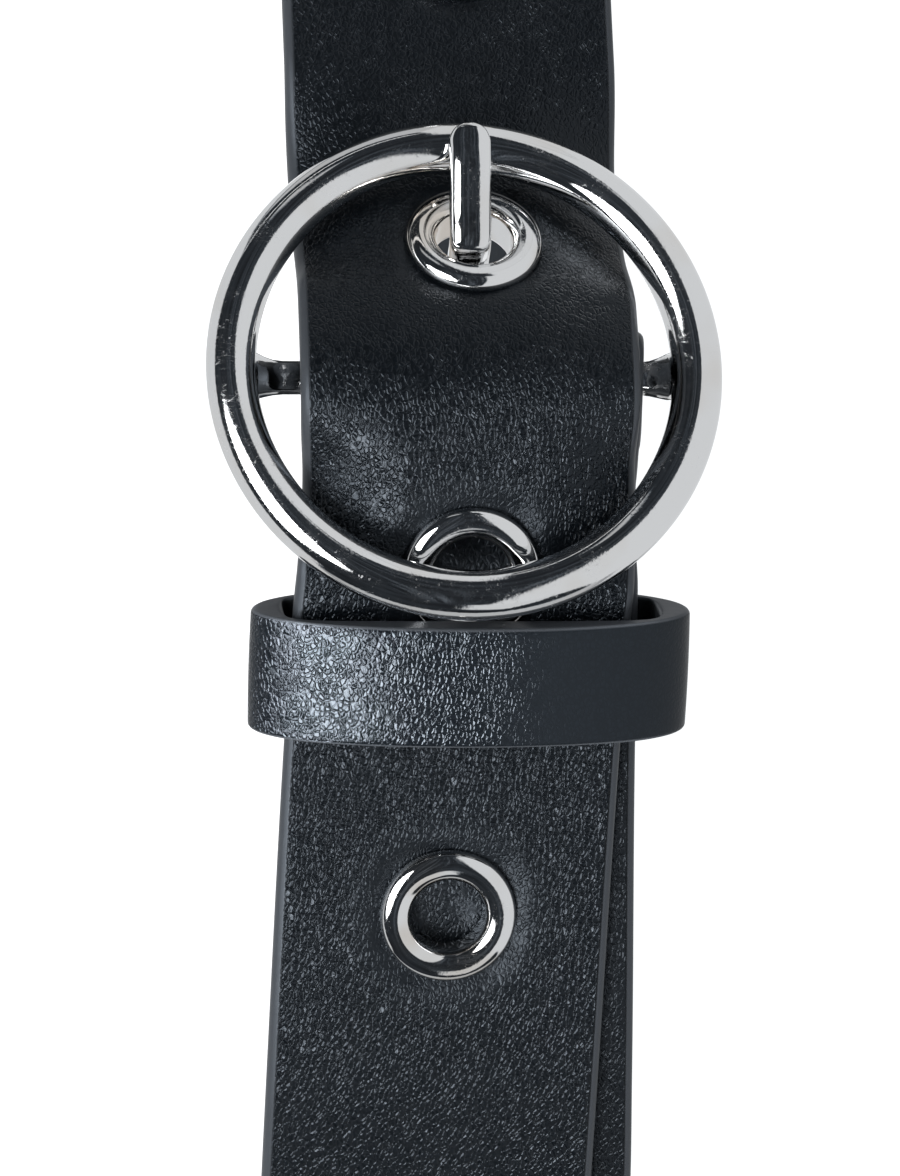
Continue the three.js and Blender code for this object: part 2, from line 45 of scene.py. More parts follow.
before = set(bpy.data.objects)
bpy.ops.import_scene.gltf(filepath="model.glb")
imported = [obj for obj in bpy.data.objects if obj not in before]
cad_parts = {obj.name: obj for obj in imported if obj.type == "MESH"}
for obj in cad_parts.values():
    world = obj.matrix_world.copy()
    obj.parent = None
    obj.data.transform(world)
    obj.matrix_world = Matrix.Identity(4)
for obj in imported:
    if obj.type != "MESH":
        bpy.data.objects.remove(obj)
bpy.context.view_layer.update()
BODY = "root"

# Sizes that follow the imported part, in millimetres and degrees. CUP_FLAT is a share of the half width.
STRAP_WIDTH = 35.0
STRAP_THICKNESS = 2.5
LAYER_GAP = 1.1
FOLD_GAP = 0.3
TAIL_THICKNESS = 1.6
TAIL_LENGTH = 14.0
TAIL_MEETS = 0.3
FREE_END_LENGTH = 44.0
TIP_ROUNDING = 15.0
TIP_BLUNT = 4.0
SPRING = 0.5
SLOT_WIDTH = 6.4
RING_RADIUS = 24.15
WIRE_RADIUS = 2.6
BAR_RADIUS = 1.75
BAR_SETBACK = 3.0
RING_PITCH = 16.0
FRONT_LEAN = 8.0
CLIMB = -42.0
FALL = 18.5
FOLD_CLOSE = 7.0
PRONG_WIDTH = 4.3
PRONG_THICKNESS = 2.4
PRONG_CURL_WALL = 1.4
PRONG_GAP = 0.4
TIP_SHORT = 0.9
EYELET_RISE = 1.0
EYELET_PITCH = 37.2
KEEPER_PLACE = 5.0
KEEPER_HEADING = 18.0
KEEPER_FORWARD = 0.4
KEEPER_UP = -0.25
RIVET_PLACE = 9.5
CUP_FLAT = 0.4
RIM_CLEARANCE = 1.7
RIM_TO_CLIMB = 1.5
RIM_TO_EYELET = 9.3
CLIMB_PAST_EYELET = 4.5
BOTTOM_CLEARANCE = 1.5
CREST_BEFORE_BOTTOM = 6.4
FALL_PAST_BOTTOM = 5.5
LOOP_MIDDLE = (14.0, 151.0)
LOOP_HALF_WIDTH = 148.0
LOOP_HALF_DEPTH = 143.0
LOOP_START = -66.0
LOOP_END = 240.0

# What follows from them, and how finely the course is sampled
HALF_STRAP = STRAP_THICKNESS / 2
REST_HEIGHT = STRAP_WIDTH / 2
RING_HEIGHT = RING_RADIUS * math.cos(math.radians(FRONT_LEAN)) + WIRE_RADIUS
PLAN_HEIGHT = RING_HEIGHT + 0.8
RUN_SAMPLES = 1500
STRAIGHT_SAMPLES = 40
COURSE_STEP = 0.25

# The fine shapes, with lengths in millimetres and the twist in degrees, and counts and a seed
BORE_RADIUS = 4.7
BORE_HALF_LENGTH = 1.7
SLOT_FORWARD = 1.4
SLOT_BACK = 0.2
SLOT_EXTRA = 6.4
SLOT_ROOM = 0.4
RIVET_BORE_RADIUS = 1.95
RIVET_BORE_HALF_LENGTH = 3.2
RIVET_SHANK = 1.6
RIVET_HEAD = 2.6
DIMPLE_RADIUS = 9.3
DIMPLE_SEED = 3
KEEPER_OUTSIDE = {"half_width": 22.8, "half_depth": 7.3, "squareness": 2.1}
KEEPER_INSIDE = {"half_width": 19.4, "half_depth": 3.95, "squareness": 8}
KEEPER_LENGTH = 12.9
KEEPER_STEPS = 280
KEEPER_CROWN = 0.1
INSIDE_UV_SHIFT = 40.0
ROUNDING_STEPS = 5
BAR_STEPS = 40
PRONG_CORNER = 1.9
PRONG_TIP_LENGTH = 2.2
PRONG_STEPS = 56
PRONG_CROWN = 0.32
PRONG_TWIST = 4.0
EYELET_TURNING_STEPS = 112

# Where the leather is worn smooth: round the eyelets, and where it is stretched up to the crest
PRESSED_REACH = 12.5
PRESSED_FADE = 5.0
PRESSED_SHARE = 0.8
STRETCH_LENGTH = 22.0
STRETCH_FADE = 17.0
STRETCH_SHARE = 0.55

# The stage. Directions are as in BELT_OT_stage.panels, in degrees, and the lamps' distance is in
# metres. The camera's target is in to_frame's millimetres, and its sensor is in millimetres too.
STRAP_PIECES = "strap under lamps"
KEEPER_PIECES = "keeper under lamps"
LAMP_DISTANCE = 0.45
SOFTBOX_TURN = -38
SOFTBOX_TILT = -6
SOFTBOX_HALF_WIDTH = 20.5
SOFTBOX_HALF_HEIGHT = 23
SOFTBOX_STRENGTH = 7.0
OVERHEAD_STRENGTH = 0.95
CAMERA_TARGET = (22.5, 0, 25.0)
SENSOR_WIDTH = 36

low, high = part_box("buckle_frame")
RING_PLACE = (np.array(low) + np.array(high)) / 2
SHIFT = RING_PLACE * 1000 - np.array([0, 0, RING_HEIGHT])


def to_frame(places):
    """Millimetres across and back from the ring's middle and up from the floor, to metres in the
    part's frame."""
    return (np.asarray(places, float) + SHIFT) / 1000


# Plan geometry

def heading(degrees):
    angle = math.radians(degrees)
    return np.array([math.cos(angle), math.sin(angle)])


def moved(place, degrees, distance):
    return place + heading(degrees) * distance


def heading_of(direction):
    return math.degrees(math.atan2(direction[1], direction[0]))


class Run:
    """A stretch of the strap in plan, looked up by its share of the arc length."""

    def __init__(self, points):
        steps = np.linalg.norm(np.diff(points, axis=0), axis=1)
        self.points = points
        self.reach = np.concatenate([[0], np.cumsum(steps)])
        self.length = self.reach[-1]
        slopes = np.gradient(points, self.reach, axis=0)
        self.slopes = slopes / np.linalg.norm(slopes, axis=1)[:, None]

    def _look_up(self, table, share):
        at = np.clip(np.atleast_1d(share), 0, 1) * self.length
        return np.stack([np.interp(at, self.reach, table[:, k]) for k in range(2)], axis=1)

    def place(self, share):
        return self._look_up(self.points, share)

    def slope(self, share):
        found = self._look_up(self.slopes, share)
        return found / np.linalg.norm(found, axis=1)[:, None]


def sweep(start, leaving, end, arriving, reach):
    """A smooth run between two points, leaving and arriving at headings in degrees."""
    t = np.linspace(0, 1, RUN_SAMPLES)[:, None]
    first = moved(start, leaving, reach[0])
    last = moved(end, arriving, -reach[1])
    bends = 3 * (1 - t) ** 2 * t * first + 3 * (1 - t) * t ** 2 * last
    return Run((1 - t) ** 3 * start + bends + t ** 3 * end)


def straight(start, end):
    t = np.linspace(0, 1, STRAIGHT_SAMPLES)[:, None]
    return Run(start + (end - start) * t)


def oval(middle, half_width, half_depth, start, end):
    angle = np.radians(np.linspace(start, end, RUN_SAMPLES * 2))
    return Run(middle + np.stack([half_width * np.cos(angle), half_depth * np.sin(angle)], axis=1))


def beside(run, start, end, step, last_step=None):
    """A run beside part of another, a step to the left of its direction."""
    t = np.linspace(0, 1, RUN_SAMPLES)
    share = start + (end - start) * t
    last = step if last_step is None else last_step
    slope = run.slope(share)
    away = np.stack([-slope[:, 1], slope[:, 0]], axis=1)
    return Run(run.place(share) + away * (step + (last - step) * t ** 2)[:, None])


def cubic_table(rows):
    """A smooth curve through rows of (place, value), bending as the part's own does."""
    at = np.array([row[0] for row in rows])
    value = np.array([row[1] for row in rows])

    def look_up(where):
        where = np.clip(np.atleast_1d(where), at[0], at[-1])
        k = np.clip(np.searchsorted(at, where, side="right") - 1, 0, len(at) - 2)
        before = np.maximum(k - 1, 0)
        after = np.minimum(k + 2, len(at) - 1)
        before_at = np.where(k == 0, at[k + 1], at[before])
        before_value = np.where(k == 0, value[k + 1], value[before])
        after_at = np.where(k == len(at) - 2, at[k], at[after])
        after_value = np.where(k == len(at) - 2, value[k], value[after])
        span = at[k + 1] - at[k]
        p = (where - at[k]) / span
        wp = 0.5 * span / (at[k] - before_at)
        wn = 0.5 * span / (after_at - at[k + 1])
        return (
            before_value * (-wp * p ** 3 + 2 * wp * p ** 2 - wp * p)
            + value[k] * ((1 + wp) * p ** 3 + (-1.5 - 2 * wp) * p ** 2 + (-0.5 + wp) * p + 1)
            + value[k + 1] * ((-1 - wn) * p ** 3 + (1.5 + wn) * p ** 2 + 0.5 * p)
            + after_value * (wn * p ** 3 - wn * p ** 2)
        )

    return look_up


def eased(share):
    share = np.clip(share, 0, 1)
    return share * share * (3 - 2 * share)


class BeltPlan:
    """The strap's whole course, with its height, lean and cup at each arc length."""

    def __init__(self):
        self.start = {}
        self.length_of = {}
        self.length = 0
        rows = []
        table = []
        for name, run, height, lean in self._courses():
            self.start[name] = self.length
            self.length_of[name] = run.length
            share = np.linspace(0, 1, max(int(run.length / COURSE_STEP), 12))
            at = self.length + share * run.length
            table.append(np.column_stack([at, run.place(share), run.slope(share)]))
            self.length += run.length
            rows.append((self.length, height, lean))
        self.course = np.concatenate(table)
        rows = sorted(rows + self._resting(), key=lambda row: row[0])
        self._height = cubic_table([(row[0], row[1]) for row in rows])
        self._lean = cubic_table([(row[0], row[2]) for row in rows])
        self.cups = np.array(self._cups())
        middle_at = self.start["climb"] + RIM_TO_EYELET - RIM_TO_CLIMB
        self.eyelets = [
            (middle_at - 2 * EYELET_PITCH, 0.6),
            (middle_at - EYELET_PITCH, 1.4),
            (middle_at, 0.9),
            (middle_at + EYELET_PITCH, 0.3),
            (middle_at + 2 * EYELET_PITCH, 0.5),
        ]

    def _courses(self):
        """The strap's stretches from its turned-back tail to its tip, each with the height of its
        middle above the floor and its lean in degrees at the stretch's end."""
        centre = np.zeros(2)
        ring_top = moved(centre, -RING_PITCH, -RING_RADIUS)
        ring_bottom = moved(centre, -RING_PITCH, RING_RADIUS)
        bar = moved(centre, 90 - RING_PITCH, BAR_SETBACK)
        behind_top = moved(ring_top, CLIMB + 90, WIRE_RADIUS + RIM_CLEARANCE + HALF_STRAP)
        middle_eyelet = moved(behind_top, CLIMB, RIM_TO_EYELET)
        climb_start = moved(behind_top, CLIMB, RIM_TO_CLIMB)
        crest_start = moved(middle_eyelet, CLIMB, CLIMB_PAST_EYELET)
        bottom_reach = WIRE_RADIUS + EYELET_RISE + BOTTOM_CLEARANCE + HALF_STRAP
        behind_bottom = moved(ring_bottom, FALL + 90, bottom_reach)
        crest_end = moved(behind_bottom, FALL, -CREST_BEFORE_BOTTOM)
        fall_end = moved(behind_bottom, FALL, FALL_PAST_BOTTOM)
        fold_radius = BAR_RADIUS + FOLD_GAP + HALF_STRAP
        layer_step = STRAP_THICKNESS + LAYER_GAP
        tail_step = (STRAP_THICKNESS + TAIL_THICKNESS) / 2 + FOLD_GAP
        rear_start = moved(bar, -90 + FOLD_CLOSE, fold_radius)
        tail_start = moved(bar, 90 - FOLD_CLOSE, fold_radius)
        rear_under_keeper = moved(fall_end, FALL + 90, layer_step)
        rear_in = sweep(rear_start, FOLD_CLOSE, rear_under_keeper, FALL, (8, 7))
        loop = oval(np.array(LOOP_MIDDLE), LOOP_HALF_WIDTH, LOOP_HALF_DEPTH, LOOP_START, LOOP_END)
        loop_in = heading_of(loop.slope(0)[0])
        rear_out = sweep(rear_under_keeper, FALL, loop.place(0)[0], loop_in, (16, 16))
        loop_out = heading_of(loop.slope(1)[0])
        top_in = sweep(loop.place(1)[0], loop_out, climb_start, CLIMB, (22, 7))
        tail_meets = beside(rear_in, TAIL_MEETS, 1, tail_step)
        tail_end = TAIL_MEETS + TAIL_LENGTH / 2 / rear_in.length
        back_again = heading_of(tail_meets.slope(0)[0]) - 180
        tail_in = sweep(
            tail_meets.place(0)[0], back_again, tail_start, 180 - FOLD_CLOSE, (2.5, 2.5),
        )
        last_step = -layer_step - SPRING
        free_end = beside(
            loop, 0, FREE_END_LENGTH / loop.length, last_step, last_step - 2 * SPRING,
        )
        self.bar = bar
        self.ring_top = ring_top
        self.middle_eyelet = middle_eyelet
        self.fold_radius = fold_radius
        self.layer_step = layer_step
        self.tail_step = tail_step
        return [
            ("tail", beside(rear_in, tail_end, TAIL_MEETS, tail_step), 27.4, 8),
            ("tail_in", tail_in, 27.4, 8),
            ("fold", oval(bar, fold_radius, fold_radius, 90 - FOLD_CLOSE, 270 + FOLD_CLOSE), 27.5, 8),
            ("rear", rear_in, 26.9, 8),
            ("rear_out", rear_out, 26.3, 8),
            ("loop", loop, 23.0, 9),
            ("top_in", top_in, 25.5, 10),
            ("climb", straight(climb_start, crest_start), 26.7, 8),
            ("crest", sweep(crest_start, CLIMB, crest_end, FALL, (13, 13)), 27.3, 8),
            ("fall", straight(crest_end, fall_end), 26.1, 8),
            ("run_out", beside(rear_out, 0, 1, -layer_step, last_step), 22.6, 8),
            ("free_end", free_end, 19.8, 6),
        ]

    def _resting(self):
        """Heights and leans at more places, most of them where the loop comes down to the floor."""
        loop_start = self.start["loop"]
        loop_end = self.start["top_in"]
        return [
            (0, 27.2, 8),
            (self.start["rear_out"] + 18, 26.6, 8),
            (loop_start + 18, 25.9, 7.4),
            (loop_start + 50, 23.2, 5.4),
            (loop_start + 90, 18.6, 2),
            (loop_start + 125, REST_HEIGHT, 0),
            (loop_start + 160, REST_HEIGHT, 0),
            (loop_end - 130, REST_HEIGHT, 0),
            (loop_end - 95, REST_HEIGHT, 0),
            (loop_end - 60, 18.4, 2),
        ]

    def _cups(self):
        """How far the strap's edges bend back from its middle, as (place, millimetres)."""
        climb, crest, fall = (self.start[name] for name in ("climb", "crest", "fall"))
        rear, rear_length = self.start["rear"], self.length_of["rear"]
        return [
            (0, -3), (self.start["tail_in"], -1.8), (self.start["fold"], 0), (rear, 0),
            (rear + rear_length * 0.5, 2.6), (rear + rear_length * 0.7, 1.8),
            (rear + rear_length * 0.9, 0),
            (climb - 16, 0), (climb - 2, 2.9), (climb + 7, 2.9), (crest + 3, 0.8),
            (crest + self.length_of["crest"] * 0.5, 0.3), (fall - 4, 3.3), (fall + 1, 3.0),
            (fall + 7.5, 0), (self.length, 0),
        ]

    def height(self, at):
        return np.maximum(self._height(at), REST_HEIGHT)

    def lean(self, at):
        return np.maximum(self._lean(at), 0)

    def cup(self, at):
        places, cups = self.cups[:, 0], self.cups[:, 1]
        k = np.clip(np.searchsorted(places, at, side="right") - 1, 0, len(places) - 2)
        share = (at - places[k]) / np.maximum(places[k + 1] - places[k], 1e-6)
        return cups[k] + (cups[k + 1] - cups[k]) * eased(share)

    def thickness(self, at):
        share = (at - self.start["tail_in"]) / (self.start["fold"] - self.start["tail_in"])
        return TAIL_THICKNESS + (STRAP_THICKNESS - TAIL_THICKNESS) * np.clip(share, 0, 1)

    def half_width(self, at):
        inward = np.clip(1 - (self.length - at) / TIP_ROUNDING, 0, 1)
        return TIP_BLUNT + (STRAP_WIDTH / 2 - TIP_BLUNT) * np.sqrt(1 - inward ** 2)

    def frames(self, at):
        """The strap's middle and its directions along, across and out of the grain side."""
        at = np.atleast_1d(np.asarray(at, float))
        x, y, slope_x, slope_y = (
            np.interp(at, self.course[:, 0], self.course[:, k]) for k in range(1, 5)
        )
        norm = np.hypot(slope_x, slope_y)
        climb = self.height(at + 0.5) - self.height(at - 0.5)
        along = unit(np.stack([slope_x / norm, slope_y / norm, climb], axis=1))
        lean = np.radians(self.lean(at))
        tipped = np.stack([np.zeros_like(lean), np.sin(lean), np.cos(lean)], axis=1)
        outward = unit(np.cross(along, tipped))
        across = unit(np.cross(outward, along))
        return np.stack([x, y, self.height(at)], axis=1), along, across, outward


def unit(vectors):
    return vectors / np.linalg.norm(vectors, axis=-1, keepdims=True)


PLAN = BeltPlan()


def stood_up(places, up=0.0):
    """Plan places at the strap's middle height, tipped back with the front of the belt."""
    lean = math.radians(-FRONT_LEAN)
    places = np.asarray(places, float)
    up = np.broadcast_to(up, places.shape[:-1])
    x, y = places[..., 0], places[..., 1]
    return np.stack([
        x,
        y * math.cos(lean) - up * math.sin(lean),
        y * math.sin(lean) + up * math.cos(lean) + PLAN_HEIGHT,
    ], axis=-1)


# Mesh making

def new_object(name, mesh):
    piece = bpy.data.objects.new(name, mesh)
    bpy.context.scene.collection.objects.link(piece)
    return piece


def shaded_smooth(mesh):
    mesh.polygons.foreach_set("use_smooth", [True] * len(mesh.polygons))


def mesh_of(name, vertices, faces):
    mesh = bpy.data.meshes.new(name)
    mesh.from_pydata([tuple(v) for v in vertices], [], faces)
    mesh.update()
    shaded_smooth(mesh)
    return mesh


def lofted(name, rings, closed=False):
    """A tube through rings of points, capped at both ends with a fan unless it closes on itself."""
    rings = np.asarray(rings)
    count, around = rings.shape[:2]
    vertices = rings.reshape(-1, 3)
    faces = []
    for i in range(count if closed else count - 1):
        here = i * around
        there = (i + 1) % count * around
        for j in range(around):
            k = (j + 1) % around
            faces.append((here + j, here + k, there + k, there + j))
    if not closed:
        vertices = np.concatenate([vertices, [rings[0].mean(0)], [rings[-1].mean(0)]])
        first, last = len(vertices) - 2, len(vertices) - 1
        end = (count - 1) * around
        for j in range(around):
            k = (j + 1) % around
            faces.append((k, j, first))
            faces.append((end + j, end + k, last))
    return mesh_of(name, to_frame(vertices), faces)


def faced_out(mesh):
    """Turns every face outwards."""
    work = bmesh.new()
    work.from_mesh(mesh)
    bmesh.ops.recalc_face_normals(work, faces=work.faces)
    work.to_mesh(mesh)
    work.free()
    return mesh


def cut(piece, cutters, operation="DIFFERENCE"):
    """Cuts or joins other objects into a piece, and removes them."""
    for cutter in cutters:
        step = piece.modifiers.new(cutter.name, "BOOLEAN")
        step.operation = operation
        step.solver = "EXACT"
        step.object = cutter
    plain(piece)
    for cutter in cutters:
        bpy.data.objects.remove(cutter)


def plain(piece):
    """Turns what a piece's modifiers make into its own plain mesh."""
    bpy.context.view_layer.update()
    evaluated = piece.evaluated_get(bpy.context.evaluated_depsgraph_get())
    mesh = bpy.data.meshes.new_from_object(evaluated)
    mesh.name = piece.name
    piece.modifiers.clear()
    piece.data = mesh


def turned(name, profile, origin, axis, steps):
    """A solid of revolution: profile is (radius, height) from one end of the axis to the other."""
    axis = unit(np.asarray(axis, float))
    side = unit(np.cross(axis, [0.31, 0.53, 0.79]))
    other = np.cross(axis, side)
    angle = np.linspace(0, 2 * math.pi, steps, endpoint=False)
    around = np.cos(angle)[:, None] * side + np.sin(angle)[:, None] * other
    rings = [np.asarray(origin) + around * radius + axis * height for radius, height in profile]
    return faced_out(lofted(name, rings))


def rounded(points, radius):
    """A polyline's corners made round, for a profile. Ends stay where they are."""
    result = [points[0]]
    for before, corner, after in zip(points, points[1:], points[2:]):
        before, corner, after = (np.asarray(p, float) for p in (before, corner, after))
        back, on = before - corner, after - corner
        trim = min(radius, np.linalg.norm(back) * 0.45, np.linalg.norm(on) * 0.45)
        start = corner + unit(back) * trim
        end = corner + unit(on) * trim
        for t in np.linspace(0, 1, ROUNDING_STEPS):
            result.append((1 - t) ** 2 * start + 2 * (1 - t) * t * corner + t ** 2 * end)
    result.append(points[-1])
    return [tuple(p) for p in result]


def smooth_path(places, steps):
    """A centripetal Catmull-Rom curve through the places."""
    places = np.asarray(places, float)
    places = np.concatenate([[2 * places[0] - places[1]], places, [2 * places[-1] - places[-2]]])
    path = []
    for p0, p1, p2, p3 in zip(places, places[1:], places[2:], places[3:]):
        d0, d1, d2 = (math.sqrt(np.linalg.norm(b - a)) for a, b in ((p0, p1), (p1, p2), (p2, p3)))
        t1 = ((p1 - p0) / d0 - (p2 - p0) / (d0 + d1) + (p2 - p1) / d1) * d1
        t2 = ((p2 - p1) / d1 - (p3 - p1) / (d1 + d2) + (p3 - p2) / d2) * d1
        for t in np.linspace(0, 1, steps, endpoint=False):
            path.append(
                p1 + t1 * t + (-3 * p1 + 3 * p2 - 2 * t1 - t2) * t ** 2
                + (2 * p1 - 2 * p2 + t1 + t2) * t ** 3
            )
    path.append(places[-2])
    return np.array(path)


def add_uv(mesh, per_vertex, wrap=None):
    """A UV map in metres from values at the vertices. Wrap is the length at which V starts again."""
    layer = mesh.uv_layers.new(name="surface")
    corners = np.zeros(len(mesh.loops), int)
    mesh.loops.foreach_get("vertex_index", corners)
    uv = np.asarray(per_vertex)[corners].copy()
    if wrap:
        for polygon in mesh.polygons:
            loops = list(polygon.loop_indices)
            values = uv[loops, 1]
            if values.max() - values.min() > wrap / 2:
                uv[loops, 1] = np.where(values < wrap / 2, values + wrap, values)
    layer.data.foreach_set("uv", uv.reshape(-1))


def add_mask(mesh, name, values):
    mask = mesh.attributes.new(name, "FLOAT", "POINT")
    mask.data.foreach_set("value", np.asarray(values, float))


# Shader maths

class Link:
    """A shader value that adds a Math node for each sum it takes part in."""

    def __init__(self, finish, socket):
        self.finish = finish
        self.socket = socket

    def _maths(self, operation, first, second):
        return self.finish.node("ShaderNodeMath", {"operation": operation}, {0: first, 1: second})

    def __add__(self, other):
        return self._maths("ADD", self, other)

    __radd__ = __add__

    def __mul__(self, other):
        return self._maths("MULTIPLY", self, other)

    __rmul__ = __mul__

    def __sub__(self, other):
        return self._maths("SUBTRACT", self, other)

    def __rsub__(self, other):
        return self._maths("SUBTRACT", other, self)

    def __truediv__(self, other):
        return self._maths("DIVIDE", self, other)

    def highest(self, other):
        return self._maths("MAXIMUM", self, other)


class Finish:
    """A node tree being built, for a material or the world."""

    def __init__(self, tree):
        self.tree = tree
        self.tree.nodes.clear()

    def node(self, kind, settings=None, inputs=None, output=0):
        made = self.tree.nodes.new(kind)
        for name, value in (settings or {}).items():
            setattr(made, name, value)
        for key, value in (inputs or {}).items():
            socket = made.inputs[key]
            if isinstance(key, str):
                socket = next((s for s in made.inputs if s.identifier == key), socket)
            if isinstance(value, Link):
                self.tree.links.new(value.socket, socket)
            else:
                socket.default_value = value
        return Link(self, made.outputs[output]) if made.outputs else None

    def smooth(self, value, low, high):
        """0 below low, 1 above high and eased between them."""
        return self.node(
            "ShaderNodeMapRange", {"interpolation_type": "SMOOTHSTEP"},
            {"Value": value, "From Min": low, "From Max": high, "To Min": 0.0, "To Max": 1.0},
        )

    def between(self, value, low, high, soft):
        """1 between low and high and 0 outside, softened at both."""
        past_low = self.smooth(value, low - soft, low + soft)
        return past_low * (1 - self.smooth(value, high - soft, high + soft))

    def blend(self, factor, first, second):
        """One colour turning into another."""
        made = self.tree.nodes.new("ShaderNodeMix")
        made.data_type = "RGBA"
        sockets = {s.identifier: s for s in made.inputs}
        for key, value in (("Factor_Float", factor), ("A_Color", first), ("B_Color", second)):
            if isinstance(value, Link):
                self.tree.links.new(value.socket, sockets[key])
            else:
                sockets[key].default_value = value
        output = next(s for s in made.outputs if s.identifier == "Result_Color")
        return Link(self, output)

    def attribute(self, name):
        return self.node("ShaderNodeAttribute", {"attribute_name": name}, {}, output=2)

    def noise(self, vector, scale, detail=2.0, roughness=0.5):
        return self.node(
            "ShaderNodeTexNoise", {"noise_dimensions": "3D"},
            {"Vector": vector, "Scale": scale, "Detail": detail, "Roughness": roughness},
        )

    def cells(self, vector, scale, turn):
        """The distance to the nearest edge between cells of a stretched and turned pattern."""
        stretched = self.node(
            "ShaderNodeMapping", {},
            {"Vector": vector, "Scale": scale, "Rotation": (0.0, 0.0, turn)},
        )
        return self.node(
            "ShaderNodeTexVoronoi", {"feature": "DISTANCE_TO_EDGE"},
            {"Vector": stretched, "Scale": 1.0, "Randomness": 1.0},
        )

    def bump(self, height):
        return self.node("ShaderNodeBump", {}, {"Strength": 1.0, "Distance": 0.001, "Height": height})


def new_finish(name):
    material = bpy.data.materials.new(name)
    material.use_nodes = True
    return material, Finish(material.node_tree)


def surface_out(finish, settings):
    shader = finish.node("ShaderNodeBsdfPrincipled", {}, settings)
    finish.node("ShaderNodeOutputMaterial", {}, {"Surface": shader})


def rgba(colour, share=1.0):
    return (colour[0] * share, colour[1] * share, colour[2] * share, 1.0)


def leather_finish(name, sizes, depth, gloss):
    """Pebble-grain leather with finer grain in it, painted shade in its cracks, hair creases, painted edges
    and a plain lining.
    """
    material, finish = new_finish(name)
    surface = finish.node("ShaderNodeUVMap", {"uv_map": "surface"})
    place = finish.node("ShaderNodeTexCoord", {}, {}, output=3)
    edge, lining, worn = (finish.attribute(name) for name in ("edge", "lining", "worn"))
    face = 1 - finish.smooth(edge + lining, 0.3, 0.8)

    drift_settings = {"Vector": surface, "Scale": 1500.0, "Detail": 1.0}
    drift = finish.node("ShaderNodeTexNoise", {}, drift_settings, output=1)
    bent = finish.node(
        "ShaderNodeVectorMath", {"operation": "MULTIPLY_ADD"},
        {0: drift, 1: (0.0004, 0.0003, 0.0), 2: surface},
    )
    grain = 1 / sizes.pebble_size
    patch = finish.smooth(finish.noise(surface, 80.0, 2.0), 0.36, 0.64)
    speckle = finish.smooth(finish.noise(surface, 520.0, 1.0), 0.4, 0.62)
    net = finish.cells(bent, (0.88 * grain, 1.15 * grain, 1.0), 0.25)
    crack = 1 - finish.smooth(net, 0.0, 0.26)
    small_net = finish.cells(bent, (1.7 * grain, 2.1 * grain, 1.0), 0.2)
    small = 1 - finish.smooth(small_net, 0.0, 0.4)
    fine = finish.noise(bent, 2.4 * grain, 2.0, 0.6)
    hair_net = finish.cells(bent, (330.0, 900.0, 1.0), 0.5)
    hair = (1 - finish.smooth(hair_net, 0.0, 0.05)) * patch
    wander = finish.noise(surface, 500.0, 1.0)
    height = crack * (0.4 + speckle * 0.35 + patch * 0.25) + small * 0.05 + hair * 0.25
    height = fine * 0.06 + wander * 0.15 - height
    height = height * (1 - worn * 0.8) * face * depth + finish.noise(surface, 45.0, 1.0) * 0.04 * face
    cloth = finish.noise(place, 2500.0, 3.0, 0.7)
    height = height + cloth * lining * 0.04 + finish.noise(place, 700.0, 2.0) * edge * 0.03

    # Painted shade: the base colour is darkened in the grain's cracks, where shade would fall.
    low = (1 - crack * 0.5) * face + (1 - face)
    colour = finish.blend(low, rgba(sizes.leather, 0.45), rgba(sizes.leather, 1.2))
    colour = finish.blend(lining, colour, rgba(sizes.lining))
    colour = finish.blend(edge, colour, rgba(sizes.painted_edge))
    rough = gloss + worn * 0.14 + fine * 0.04
    rough = rough * face + lining * 0.62 + edge * 0.42
    surface_out(finish, {
        "Base Color": colour, "Roughness": rough, "Normal": finish.bump(height),
        "Specular IOR Level": 0.36, "Specular Tint": (0.78, 0.88, 1.0, 1.0),
    })
    return material


def chrome_finish(name, sizes, scratch_share, warm_share):
    """Polished plated metal with hair scratches, faint pits and a warm cast in places."""
    material, finish = new_finish(name)
    place = finish.node("ShaderNodeTexCoord", {}, {}, output=3)
    cloud = finish.noise(place, 190.0, 3.0)
    scuff = finish.smooth(finish.noise(place, 900.0, 4.0, 0.7), 0.56, 0.72)
    scratch_lines = finish.cells(place, (2600.0, 260.0, 700.0), 0.5)
    scratch = 1 - finish.smooth(scratch_lines, 0.0, 0.035)
    worn = finish.smooth(cloud, 0.42, 0.66)
    pitted = finish.noise(place, 2600.0, 3.0, 0.65) * (0.0025 + worn * 0.009)
    height = (pitted + finish.noise(place, 330.0, 1.0) * 0.01) * scratch_share
    warm = finish.smooth(finish.noise(place, 120.0, 2.0), 0.45, 0.7) * warm_share
    colour = finish.blend(warm, rgba(sizes.metal), rgba((0.70, 0.63, 0.55)))
    speck = finish.smooth(finish.noise(place, 2300.0, 2.0, 0.6), 0.6, 0.7) * finish.smooth(cloud, 0.35, 0.6)
    haze = finish.smooth(finish.noise(place, 700.0, 3.0, 0.6), 0.42, 0.72)
    rough = haze * 0.08 + speck * 0.2 + scuff * worn * 0.14 + scratch * worn * 0.2
    rough = 0.035 + rough * scratch_share
    surface_out(finish, {
        "Base Color": colour, "Metallic": 1.0, "Roughness": rough, "Normal": finish.bump(height),
    })
    return material


# Sizes and colours that a user would change

def length_setting(name, description, default, low=0.0001, high=10.0):
    return FloatProperty(
        name=name, description=description, default=default, min=low, max=high,
        unit="LENGTH", precision=5)


def colour_setting(name, description, default):
    return FloatVectorProperty(name=name, description=description, subtype="COLOR", default=default)


